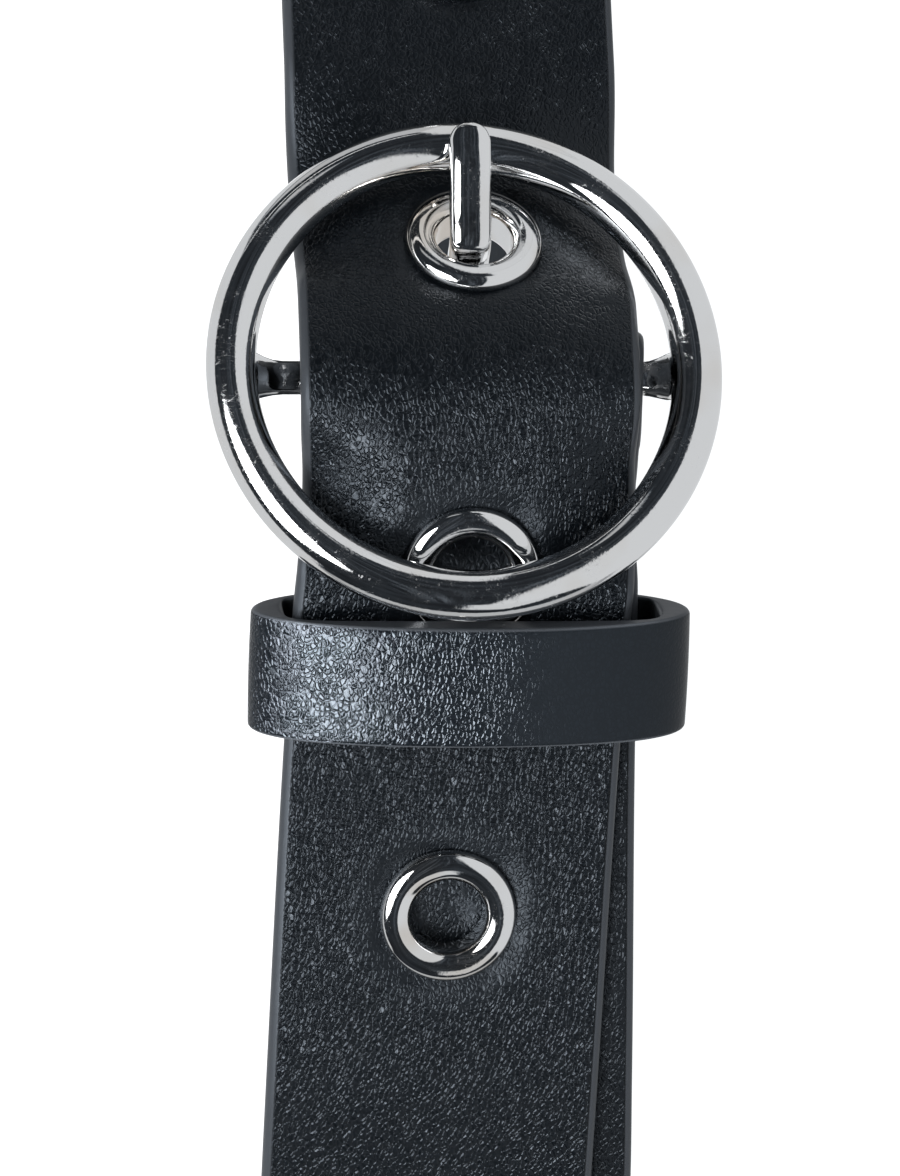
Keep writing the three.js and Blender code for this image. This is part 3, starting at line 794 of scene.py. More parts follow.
class BeltStrapSettings(bpy.types.PropertyGroup):
    edge_rounding: length_setting(
        "Edge rounding", "Radius of the strap's painted edges", 0.00095, 0.0002, 0.0012)
    fine_step: length_setting(
        "Fine step", "Mesh spacing along the front layer", 0.0007, 0.0004, 0.004)
    face_columns: IntProperty(
        name="Columns", description="Mesh columns across the grain side", default=46, min=12, max=90)
    dimple_depth: length_setting(
        "Dimple depth", "How deep the leather is pressed round each eyelet", 0.00042, 0.0, 0.001)
    keeper_rim: length_setting(
        "Keeper rim", "Radius of the keeper's rims", 0.0005, 0.0001, 0.001)


class BeltMetalSettings(bpy.types.PropertyGroup):
    ring_radius: length_setting(
        "Ring radius", "Middle of the ring's wire from its centre", RING_RADIUS / 1000)
    wire_radius: length_setting(
        "Wire radius", "Half the thickness of the ring's wire", WIRE_RADIUS / 1000)
    flange_radius: length_setting(
        "Flange radius", "Outside of each eyelet's domed front flange", 0.00715)
    hole_radius: length_setting("Hole radius", "Inside of each eyelet's barrel", 0.00395)


class BeltColourSettings(bpy.types.PropertyGroup):
    leather: colour_setting("Leather", "Grain side of the leather", (0.0024, 0.0034, 0.0047))
    lining: colour_setting("Lining", "Inner side of the strap and the keeper", (0.009, 0.01, 0.011))
    painted_edge: colour_setting(
        "Painted edge", "Sealed edges of the leather", (0.042, 0.046, 0.052))
    metal: colour_setting(
        "Metal", "Plated metal of the buckle and the eyelets", (0.86, 0.865, 0.87))
    pebble_size: length_setting(
        "Pebble size", "Width of a pebble of the leather's grain", 0.00055, 0.0001, 0.003)


class BeltStageSettings(bpy.types.PropertyGroup):
    camera_distance: length_setting(
        "Camera distance", "Distance from the camera to the buckle", 0.8)
    camera_drop: FloatProperty(
        name="Camera drop", description="How far the camera looks down",
        default=math.radians(1.5), subtype="ANGLE")
    lens: FloatProperty(
        name="Lens", description="Focal length in millimetres on a 36 mm sensor", default=237.77)
    floor_size: length_setting("Floor", "Width of the floor", 6.0)


# Operators

def lit_by_lamps(name):
    """The pieces that the leather lamps of this name light."""
    return bpy.data.collections.get(name) or bpy.data.collections.new(name)


def settle(piece, material, slot, *nodes):
    """Gives a finished piece its material, hangs it under the body and hides the imported parts it
    replaces.
    """
    piece.data.materials.clear()
    piece.data.materials.append(material)
    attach(piece, BODY)
    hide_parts(*nodes)


def strap_stations(fine):
    """Arc lengths for the strap's cross-sections: close where it bends or shows, wide elsewhere."""
    start = PLAN.start
    spans = [
        (0, start["rear"], 0.8),
        (start["rear"], start["loop"], 1.1),
        (start["loop"], start["loop"] + 60, 1.6),
        (start["loop"] + 60, start["top_in"] - 40, 4.2),
        (start["top_in"] - 40, start["top_in"], 1.6),
        (start["top_in"], PLAN.length - TIP_ROUNDING, fine),
    ]
    places = []
    for begin, end, step in spans:
        count = max(int(round((end - begin) / step)), 1)
        places.extend(np.linspace(begin, end, count, endpoint=False))
    tip = np.sin(np.linspace(0, math.pi / 2, 26)) * TIP_ROUNDING
    places.extend(PLAN.length - TIP_ROUNDING + tip)
    return np.array(places)


def leather_section(half_width, thickness, rounding, columns):
    """One cross-section as rows of (across, out, is edge, is lining), all the way round."""
    radius = min(rounding, thickness * 0.4)
    flat = half_width - radius
    up = thickness / 2 - radius
    rows = []
    for s in np.linspace(1, -1, columns):
        rows.append((flat * s, thickness / 2, 0, 0))
    for angle in np.radians([105, 122, 140, 158, 175, 185, 202, 220, 238, 255]):
        side = up if angle < math.pi else -up
        rows.append((-flat + radius * math.cos(angle), side + radius * math.sin(angle), 1, 0))
    for s in np.linspace(-1, 1, columns // 2):
        rows.append((flat * s, -thickness / 2, 0, 1))
    for angle in np.radians([-75, -58, -40, -22, -5, 5, 22, 40, 58, 75]):
        side = up if angle > 0 else -up
        rows.append((flat + radius * math.cos(angle), side + radius * math.sin(angle), 1, 0))
    return np.array(rows)


def puckers(at, across, depth):
    """How far the grain side is pressed in round the eyelets, and its slow unevenness."""
    draw = np.random.default_rng(DIMPLE_SEED)
    press = np.zeros(np.broadcast(at, across).shape)
    for centre, off_axis in PLAN.eyelets:
        away = np.hypot(at - centre, across - off_axis)
        angle = np.arctan2(across - off_axis, at - centre)
        phase = draw.uniform(0, 2 * math.pi, 3)
        uneven = 1 + 0.22 * np.sin(3 * angle + phase[0]) + 0.16 * np.sin(7 * angle + phase[1])
        reach = DIMPLE_RADIUS + 0.5 * np.sin(4 * angle + phase[2])
        ring = eased((reach - away) / 2.6) * eased((away - 5.4) / 1.4)
        press += depth * uneven * ring
    waves = draw.uniform(0.02, 0.11, (6, 2))
    phases = draw.uniform(0, 2 * math.pi, 6)
    slow = sum(np.sin(at * a + across * b + p) for (a, b), p in zip(waves, phases))
    return press + 0.018 * slow


class BELT_OT_strap(bpy.types.Operator):
    """Builds the strap: folded round the bar, once round the waist, and out through the keeper"""

    bl_idname = "belt.strap"
    bl_label = "Strap"

    def execute(self, context):
        sizes = context.scene.belt_strap
        colours = context.scene.belt_colours
        rounding = sizes.edge_rounding * 1000
        stations = strap_stations(sizes.fine_step * 1000)
        ends = rounding * (1 - np.cos(np.linspace(0, math.pi / 2, 5)))
        stations = np.concatenate([ends[:-1] * 0.9, stations[stations > rounding]])
        origin, _, across, outward = PLAN.frames(stations)
        rings, uvs, edges, linings, worn = [], [], [], [], []
        for i, at in enumerate(stations):
            half_width = float(PLAN.half_width(at))
            inset = self.inset(at, rounding)
            section = leather_section(
                half_width - inset * 0.5, float(PLAN.thickness(at)) - inset * 1.2,
                rounding, sizes.face_columns,
            )
            side, out, on_edge, on_lining = section.T
            column = np.clip(np.abs(side) / half_width, 0, 1)
            bend = np.maximum(column - CUP_FLAT, 0) / (1 - CUP_FLAT)
            back = float(PLAN.cup(at)) * bend ** 1.5
            drawn_in = back ** 2 / STRAP_WIDTH
            side = side - np.sign(side) * drawn_in * column
            on_grain = (on_edge == 0) & (on_lining == 0)
            from_edge = np.clip((half_width - 1.5 - np.abs(side)) / 2, 0, 1)
            pressed = puckers(at, side, sizes.dimple_depth * 1000) * on_grain * from_edge
            raised = (out - back - pressed)[:, None]
            rings.append(origin[i] + across[i] * side[:, None] + outward[i] * raised)
            step = np.linalg.norm(np.diff(section[:, :2], axis=0, append=section[:1, :2]), axis=1)
            round_it = section[0, 0] - np.cumsum(step) + step
            uvs.append(np.stack([np.full(len(section), at), round_it], axis=1))
            edges.append(on_edge)
            linings.append(on_lining)
            worn.append(self.worn(at, side))
        mesh = lofted("strap", rings)
        uv = np.concatenate([np.concatenate(uvs), [[0, 0], [PLAN.length, 0]]]) / 1000
        add_uv(mesh, uv)
        for name, values, at_ends in (("edge", edges, 1), ("lining", linings, 0), ("worn", worn, 0)):
            add_mask(mesh, name, np.concatenate([*values, [at_ends, at_ends]]))
        strap = new_object("strap_leather", faced_out(mesh))
        cut(strap, [*self.bores(), self.slot(), self.rivet_bore()])
        material = leather_finish("strap leather", colours, 0.105, 0.23)
        settle(strap, material, "leather", "strap")
        lit_by_lamps(STRAP_PIECES).objects.link(strap)
        return {"FINISHED"}

    def inset(self, at, rounding):
        """How much smaller the section is next to either end, so that the ends are rounded too."""
        for from_end, share in ((PLAN.length - at, 0.9), (at, 0.7)):
            if from_end < rounding:
                drop = math.sqrt(max(1 - (1 - from_end / rounding) ** 2, 0))
                return rounding * share * (1 - drop)
        return 0.0

    def worn(self, at, side):
        """How smooth the grain is round a section: pressed at the eyelets, stretched up to the crest."""
        away = [np.hypot(at - centre, side - off_axis) for centre, off_axis in PLAN.eyelets]
        to_crest = PLAN.start["crest"] + STRETCH_LENGTH - at
        stretched = float(eased(to_crest / STRETCH_FADE)) * STRETCH_SHARE
        pressed = PRESSED_SHARE * eased((PRESSED_REACH - np.min(away, axis=0)) / PRESSED_FADE)
        return np.maximum(pressed, stretched)

    def bores(self):
        profile = [(BORE_RADIUS, -BORE_HALF_LENGTH), (BORE_RADIUS, BORE_HALF_LENGTH)]
        for index, (at, off_axis) in enumerate(PLAN.eyelets):
            origin, _, across, outward = (row[0] for row in PLAN.frames(at))
            bore = turned("bore", profile, origin + across * off_axis, outward, 48)
            yield new_object(f"bore_{index}", bore)

    def slot(self):
        """The slot in the fold that the prong comes out of."""
        reach = PLAN.fold_radius + HALF_STRAP
        middle, depth = PLAN.bar[0] - reach / 2 + SLOT_FORWARD, PLAN.bar[1] + SLOT_BACK
        left, right = middle - (reach + SLOT_EXTRA) / 2, middle + (reach + SLOT_EXTRA) / 2
        front, back = depth - reach - SLOT_ROOM, depth + reach + SLOT_ROOM
        corners = [(left, front), (right, front), (right, back), (left, back)]
        rings = [stood_up(corners, up) for up in (-SLOT_WIDTH / 2, SLOT_WIDTH / 2)]
        return new_object("slot", faced_out(lofted("slot", rings)))

    def rivet_bore(self):
        origin, _, _, outward = (row[0] for row in PLAN.frames(PLAN.start["rear"] + RIVET_PLACE))
        middle = -PLAN.tail_step / 2
        profile = [
            (RIVET_BORE_RADIUS, middle + end) for end in (-RIVET_BORE_HALF_LENGTH, RIVET_BORE_HALF_LENGTH)
        ]
        return new_object("rivet_bore", turned("rivet_bore", profile, origin, outward, 32))


class BELT_OT_keeper(bpy.types.Operator):
    """Builds the keeper, an oval band of thick leather with soft rims"""

    bl_idname = "belt.keeper"
    bl_label = "Keeper"

    def execute(self, context):
        colours = context.scene.belt_colours
        rim = context.scene.belt_strap.keeper_rim * 1000
        outer = self.oval(**KEEPER_OUTSIDE)
        inner = self.oval(**KEEPER_INSIDE)
        half = KEEPER_LENGTH / 2
        centre, across, inward, up_strap = self.axes()
        profile = self.profile(half, rim)
        steps = np.linalg.norm(np.diff(outer, axis=0, append=outer[:1]), axis=1)
        reach = np.concatenate([[0], np.cumsum(steps)])
        rings, uvs, edges, linings, worn = [], [], [], [], []
        for k, (far, near) in enumerate(zip(outer, inner)):
            ring = []
            for share, height in profile:
                flat = near + (far - near) * share
                crown = KEEPER_CROWN * share * (1 - (height / half) ** 2)
                place = flat * (1 + crown / max(np.linalg.norm(flat), 1))
                ring.append(centre + across * place[0] + inward * place[1] + up_strap * height)
                uvs.append((height if share > 0.5 else height + INSIDE_UV_SHIFT, reach[k]))
                on_rim = 0.02 < share < 0.98 or abs(height) > half - rim * 0.6
                edges.append(1.0 if on_rim else 0.0)
                linings.append(1.0 if share <= 0.02 and not on_rim else 0.0)
                worn.append(float(eased((place[0] + 2) / 11)))
            rings.append(ring)
        mesh = lofted("keeper", rings, closed=True)
        add_uv(mesh, np.array(uvs) / 1000, wrap=reach[-1] / 1000)
        for name, values in (("edge", edges), ("lining", linings), ("worn", worn)):
            add_mask(mesh, name, values)
        keeper = new_object("keeper_band", faced_out(mesh))
        material = leather_finish("keeper leather", colours, 0.068, 0.19)
        settle(keeper, material, "leather", "keeper")
        lit_by_lamps(KEEPER_PIECES).objects.link(keeper)
        return {"FINISHED"}

    def profile(self, half, rim):
        """The wall's section as (share of the way from its inside out, height along the strap)."""
        edge = half - rim
        bends = np.radians([22, 45, 68, 90])
        drawn_in = rim / 3 * (1 - np.cos(bends))
        rise = edge + rim * np.sin(bends)
        top = list(zip(1 - drawn_in, rise))
        top += [(share, half) for share in (0.72, 0.5, 0.28)]
        top += list(zip(drawn_in, rise))[::-1]
        bottom = [(share, -height) for share, height in reversed(top)]
        outside = [(1.0, height) for height in np.linspace(-edge, edge, 18)]
        inside = [(0.0, height) for height in np.linspace(edge, -edge, 8)]
        return outside + top + inside + bottom

    def oval(self, half_width, half_depth, squareness):
        """A squared oval, with its points at even angles once its box is scaled to a square."""
        angle = np.linspace(0, 2 * math.pi, 4000)
        power = 2 / squareness
        dense = np.stack([
            half * np.sign(side) * abs(side) ** power
            for half, side in ((half_width, np.cos(angle)), (half_depth, np.sin(angle)))
        ], axis=1)
        turn = np.unwrap(np.arctan2(dense[:, 1] / half_depth, dense[:, 0] / half_width))
        wanted = np.linspace(0, 2 * math.pi, KEEPER_STEPS, endpoint=False)
        return np.stack([np.interp(wanted, turn, dense[:, k]) for k in range(2)], axis=1)

    def axes(self):
        origin = PLAN.frames(PLAN.start["rear_out"] + KEEPER_PLACE)[0][0]
        lean = math.radians(FRONT_LEAN)
        level = heading(KEEPER_HEADING)
        across = np.array([0, math.sin(lean), math.cos(lean)])
        inward = unit(np.cross(np.array([-level[0], -level[1], 0]), across))
        up_strap = np.cross(across, inward)
        centre = origin + inward * (-PLAN.layer_step / 2 - KEEPER_FORWARD) + across * KEEPER_UP
        return centre, across, inward, up_strap


class Pattern:
    """A Geometry Nodes tree being built, with named inputs."""

    def __init__(self, name, inputs):
        self.tree = bpy.data.node_groups.new(name, "GeometryNodeTree")
        self.sockets = {}
        for label, kind, value in inputs:
            socket = self.tree.interface.new_socket(label, in_out="INPUT", socket_type=kind)
            if value is not None:
                socket.default_value = value
            self.sockets[label] = socket.identifier
        self.tree.interface.new_socket("Geometry", in_out="OUTPUT", socket_type="NodeSocketGeometry")
        self.given = self.tree.nodes.new("NodeGroupInput").outputs
        self.result = self.tree.nodes.new("NodeGroupOutput").inputs["Geometry"]

    def node(self, kind, output, inputs, settings=None):
        """A node's output, with the node's settings, values and links given by name."""
        made = self.tree.nodes.new(kind)
        for name, value in (settings or {}).items():
            setattr(made, name, value)
        for key, value in inputs.items():
            socket = made.inputs[key]
            if isinstance(value, bpy.types.NodeSocket):
                self.tree.links.new(value, socket)
            else:
                socket.default_value = value
        return made.outputs[output]

    def circle(self, resolution, radius):
        inputs = {"Resolution": resolution, "Radius": radius}
        return self.node("GeometryNodeCurvePrimitiveCircle", "Curve", inputs)

    def swept(self, curve, profile):
        """A smooth surface that carries a profile along a curve."""
        inputs = {"Curve": curve, "Profile Curve": profile}
        body = self.node("GeometryNodeCurveToMesh", "Mesh", inputs)
        return self.node("GeometryNodeSetShadeSmooth", "Geometry", {"Geometry": body})

    def stored(self, name):
        """A direction stored at each point."""
        settings = {"data_type": "FLOAT_VECTOR"}
        return self.node("GeometryNodeInputNamedAttribute", "Attribute", {"Name": name}, settings)

    def end(self, geometry):
        """Makes the instances real, gives them their material and closes the tree."""
        real = self.node("GeometryNodeRealizeInstances", "Geometry", {"Geometry": geometry})
        inputs = {"Geometry": real, "Material": self.given["Material"]}
        self.tree.links.new(self.node("GeometryNodeSetMaterial", "Geometry", inputs), self.result)

    def grow(self, piece, values):
        """Runs the tree on a piece with its inputs set by identifier, and keeps the plain mesh."""
        step = piece.modifiers.new(self.tree.name, "NODES")
        step.node_group = self.tree
        for label, value in values.items():
            step[self.sockets[label]] = value
        plain(piece)


class BELT_OT_buckle(bpy.types.Operator):
    """Builds the buckle: a round ring and its centre bar with flared ends, one casting"""

    bl_idname = "belt.buckle"
    bl_label = "Buckle frame"

    def execute(self, context):
        sizes = context.scene.belt_metal
        material = chrome_finish("buckle chrome", context.scene.belt_colours, 1.0, 0.25)
        ring = new_object("buckle_casting", bpy.data.meshes.new("ring"))
        pattern = Pattern("Buckle ring", [
            ("Ring radius", "NodeSocketFloat", 0.024),
            ("Wire radius", "NodeSocketFloat", 0.0026),
            ("Material", "NodeSocketMaterial", None),
        ])
        circle = pattern.circle(224, pattern.given["Ring radius"])
        wire = pattern.circle(48, pattern.given["Wire radius"])
        pattern.end(pattern.swept(circle, wire))
        pattern.grow(ring, {
            "Ring radius": sizes.ring_radius, "Wire radius": sizes.wire_radius, "Material": material,
        })
        turn = (
            Matrix.Translation(Vector(RING_PLACE))
            @ Matrix.Rotation(math.radians(-FRONT_LEAN), 4, "X")
            @ Matrix.Rotation(math.radians(-RING_PITCH), 4, "Z")
        )
        ring.data.transform(turn @ Matrix.Rotation(math.radians(90), 4, "X"))
        faced_out(ring.data)
        bar = new_object("bar", self.bar(turn))
        cut(ring, [bar], "UNION")
        shaded_smooth(ring.data)
        settle(ring, material, "polished_metal", "buckle_frame")
        return {"FINISHED"}

    def bar(self, turn):
        """A rod along the ring's own Z that flares and bends into the wire at each end."""
        # From the middle to one end: place along the bar, setback behind the ring, radius
        half = [(z, BAR_SETBACK, BAR_RADIUS) for z in (0.0, 8.0, 16.0, 18.6)]
        half += [
            (19.6, 2.95, 1.85), (20.5, 2.75, 2.1), (21.3, 2.4, 2.4), (22.2, 1.8, 2.55),
            (23.2, 1.0, 2.3), (24.2, 0.3, 1.4),
        ]
        spine = [(-z, y, r) for z, y, r in reversed(half[1:])] + half
        angle = np.linspace(0, 2 * math.pi, BAR_STEPS, endpoint=False)
        mesh = lofted("bar", [
            [(r * math.cos(a), y + r * math.sin(a), z) for a in angle] for z, y, r in spine
        ])
        mesh.transform(Matrix.Translation(-Vector(SHIFT) / 1000))
        mesh.transform(turn)
        return faced_out(mesh)


class BELT_OT_prong(bpy.types.Operator):
    """Builds the prong: curled round the bar, through the middle eyelet and onto the ring"""

    bl_idname = "belt.prong"
    bl_label = "Prong"

    def execute(self, context):
        path = self.path()
        step = np.linalg.norm(np.diff(path, axis=0), axis=1)
        at = np.concatenate([[0], np.cumsum(step)])
        stations = np.concatenate([
            np.linspace(0, at[-1] - PRONG_TIP_LENGTH, 150, endpoint=False),
            at[-1] - PRONG_TIP_LENGTH
            + PRONG_TIP_LENGTH * np.sin(np.linspace(0, math.pi / 2, 22)) ** 0.9,
        ])
        place = np.stack([np.interp(stations, at, path[:, k]) for k in range(2)], axis=1)
        slope = unit(np.gradient(place, stations, axis=0))
        out = np.stack([-slope[:, 1], slope[:, 0]], axis=1)
        rings = []
        for k, distance in enumerate(stations):
            share = float(eased((distance - self.curl_length + 1.5) / 4.5))
            thickness = PRONG_CURL_WALL + (PRONG_THICKNESS - PRONG_CURL_WALL) * share
            to_tip = at[-1] - distance
            width = PRONG_WIDTH / 2
            if to_tip < PRONG_CORNER:
                bend = math.sqrt(max(PRONG_CORNER ** 2 - (PRONG_CORNER - to_tip) ** 2, 0))
                width = PRONG_WIDTH / 2 - PRONG_CORNER + bend
            if distance < 0.5:
                thickness *= 0.6 + 0.4 * math.sqrt(distance / 0.5)
            if to_tip < 0.8:
                thickness *= 0.45 + 0.55 * math.sqrt(max(1 - (1 - to_tip / 0.8) ** 2, 0))
            section = self.section(width, thickness, share)
            rings.append([stood_up(place[k] + out[k] * y, x) for x, y in section])
        mesh = faced_out(lofted("prong", rings))
        prong = new_object("prong_pin", mesh)
        material = chrome_finish("prong chrome", context.scene.belt_colours, 0.9, 0.2)
        settle(prong, material, "polished_metal", "prong")
        return {"FINISHED"}

    def path(self):
        bar = PLAN.bar
        mid_wall = BAR_RADIUS + PRONG_GAP + PRONG_CURL_WALL / 2
        outward = CLIMB - 90
        in_hole = moved(PLAN.middle_eyelet, CLIMB, 1.35)
        on_rim = moved(PLAN.ring_top, -104, WIRE_RADIUS + PRONG_GAP + PRONG_THICKNESS / 2)
        curl = [moved(bar, angle, mid_wall) for angle in range(-195, 80, 15)]
        shank = [
            moved(bar, 90, mid_wall), moved(bar, 140, 6.6), moved(in_hole, outward, -2.6), in_hole,
            moved(in_hole, outward, 2.5), moved(moved(in_hole, outward, 3.3), 164, 2.6),
            moved(on_rim, -14, 3), moved(on_rim, -14, TIP_SHORT), moved(on_rim, 166, 2.15 - TIP_SHORT),
        ]
        self.curl_length = math.radians(275) * mid_wall
        return smooth_path(curl + shank, 24)

    def section(self, width, thickness, share):
        """A bar with rounded corners whose front is slightly crowned."""
        crown = PRONG_CROWN * share
        twist = math.radians(PRONG_TWIST) * share
        angle = np.linspace(0, 2 * math.pi, PRONG_STEPS, endpoint=False)
        power = 2 / 3.6
        x = width * np.sign(np.cos(angle)) * np.abs(np.cos(angle)) ** power
        y = (thickness / 2) * np.sign(np.sin(angle)) * np.abs(np.sin(angle)) ** power
        y = np.where(y > 0, y - crown * np.abs(x / (PRONG_WIDTH / 2)) ** 3, y)
        return np.stack([
            x * math.cos(twist) - y * math.sin(twist),
            x * math.sin(twist) + y * math.cos(twist),
        ], axis=1)


class BELT_OT_eyelets(bpy.types.Operator):
    """Presses the eyelets into the strap: a domed flange, a barrel and a back flange each"""

    bl_idname = "belt.eyelets"
    bl_label = "Eyelets"

    def execute(self, context):
        sizes = context.scene.belt_metal
        material = chrome_finish("eyelet chrome", context.scene.belt_colours, 0.8, 0.8)
        origins, along, out = [], [], []
        for at, off_axis in PLAN.eyelets:
            origin, lengthwise, across, outward = (row[0] for row in PLAN.frames(at))
            origins.append(to_frame(origin + across * off_axis))
            along.append(lengthwise)
            out.append(outward)
        mesh = bpy.data.meshes.new("eyelet_places")
        mesh.from_pydata([tuple(p) for p in origins], [], [])
        for name, values in (("along", along), ("out", out)):
            layer = mesh.attributes.new(name, "FLOAT_VECTOR", "POINT")
            layer.data.foreach_set("vector", np.array(values).reshape(-1))
        eyelets = new_object("eyelet_set", mesh)
        outline = new_object("eyelet_outline", self.outline(sizes))
        pattern = Pattern("Pressed eyelets", [
            ("Geometry", "NodeSocketGeometry", None),
            ("Outline", "NodeSocketObject", None),
            ("Turning steps", "NodeSocketInt", EYELET_TURNING_STEPS),
            ("Material", "NodeSocketMaterial", None),
        ])
        given, node = pattern.given, pattern.node
        drawn = node("GeometryNodeObjectInfo", "Geometry", {"Object": given["Outline"]})
        profile = node("GeometryNodeMeshToCurve", "Curve", {"Mesh": drawn})
        axis = pattern.circle(given["Turning steps"], 1e-5)
        turn = node(
            "FunctionNodeAxesToRotation", "Rotation",
            {"Primary Axis": pattern.stored("out"), "Secondary Axis": pattern.stored("along")},
            {"primary_axis": "Z", "secondary_axis": "X"},
        )
        pattern.end(node("GeometryNodeInstanceOnPoints", "Instances", {
            "Points": given["Geometry"], "Instance": pattern.swept(axis, profile), "Rotation": turn,
        }))
        pattern.grow(eyelets, {
            "Outline": outline, "Turning steps": EYELET_TURNING_STEPS, "Material": material,
        })
        bpy.data.objects.remove(outline)
        faced_out(eyelets.data)
        shaded_smooth(eyelets.data)
        settle(eyelets, material, "polished_metal", *(f"eyelet_{k}" for k in range(1, 6)))
        return {"FINISHED"}

    def outline(self, sizes):
        """The eyelet's closed outline: the dome, the barrel, the back flange and back up."""
        flange = sizes.flange_radius * 1000
        hole = sizes.hole_radius * 1000
        middle, half = (flange + hole) / 2, (flange - hole) / 2
        points = []
        for t in np.radians(np.linspace(0, 180, 26)):
            rise = 1.5 * abs(math.sin(t)) ** 0.72
            points.append((middle + half * math.cos(t), 1.05 + rise))
        points += [(hole, height) for height in np.linspace(0.7, -1.6, 8)]
        points += [
            (hole + 0.12, -1.86), (hole + 0.45, -2.0), (5.1, -1.98), (5.45, -1.88), (5.6, -1.66),
            (5.5, -1.5), (4.4, -1.45),
        ]
        points += [(4.35, height) for height in np.linspace(-1.2, 0.9, 6)]
        points += [(4.7, 1.05), (5.6, 1.1), (6.6, 1.0)]
        mesh = bpy.data.meshes.new("eyelet_outline")
        corners = [(r / 1000, -h / 1000, 0) for r, h in points]
        sides = [(k, (k + 1) % len(points)) for k in range(len(points))]
        mesh.from_pydata(corners, sides, [])
        return mesh


class BELT_OT_rivet(bpy.types.Operator):
    """Builds the plain rivet that closes the fold behind the front layer"""

    bl_idname = "belt.rivet"
    bl_label = "Fold rivet"

    def execute(self, context):
        origin, _, _, outward = (row[0] for row in PLAN.frames(PLAN.start["rear"] + RIVET_PLACE))
        low, high = -PLAN.tail_step - TAIL_THICKNESS / 2 - 0.5, HALF_STRAP + 0.35
        profile = rounded([
            (0.01, low - 0.5), (2.3, low - 0.45), (RIVET_HEAD, low - 0.2), (2.55, low),
            (RIVET_SHANK, low), (RIVET_SHANK, high),
            (2.55, high), (RIVET_HEAD, high + 0.2), (2.2, high + 0.45), (0.01, high + 0.5),
        ], 0.15)
        rivet = new_object("fold_rivet_pin", turned("rivet", profile, origin, outward, 64))
        material = chrome_finish("rivet metal", context.scene.belt_colours, 0.8, 0.3)
        settle(rivet, material, "polished_metal", "fold_rivet")
        return {"FINISHED"}


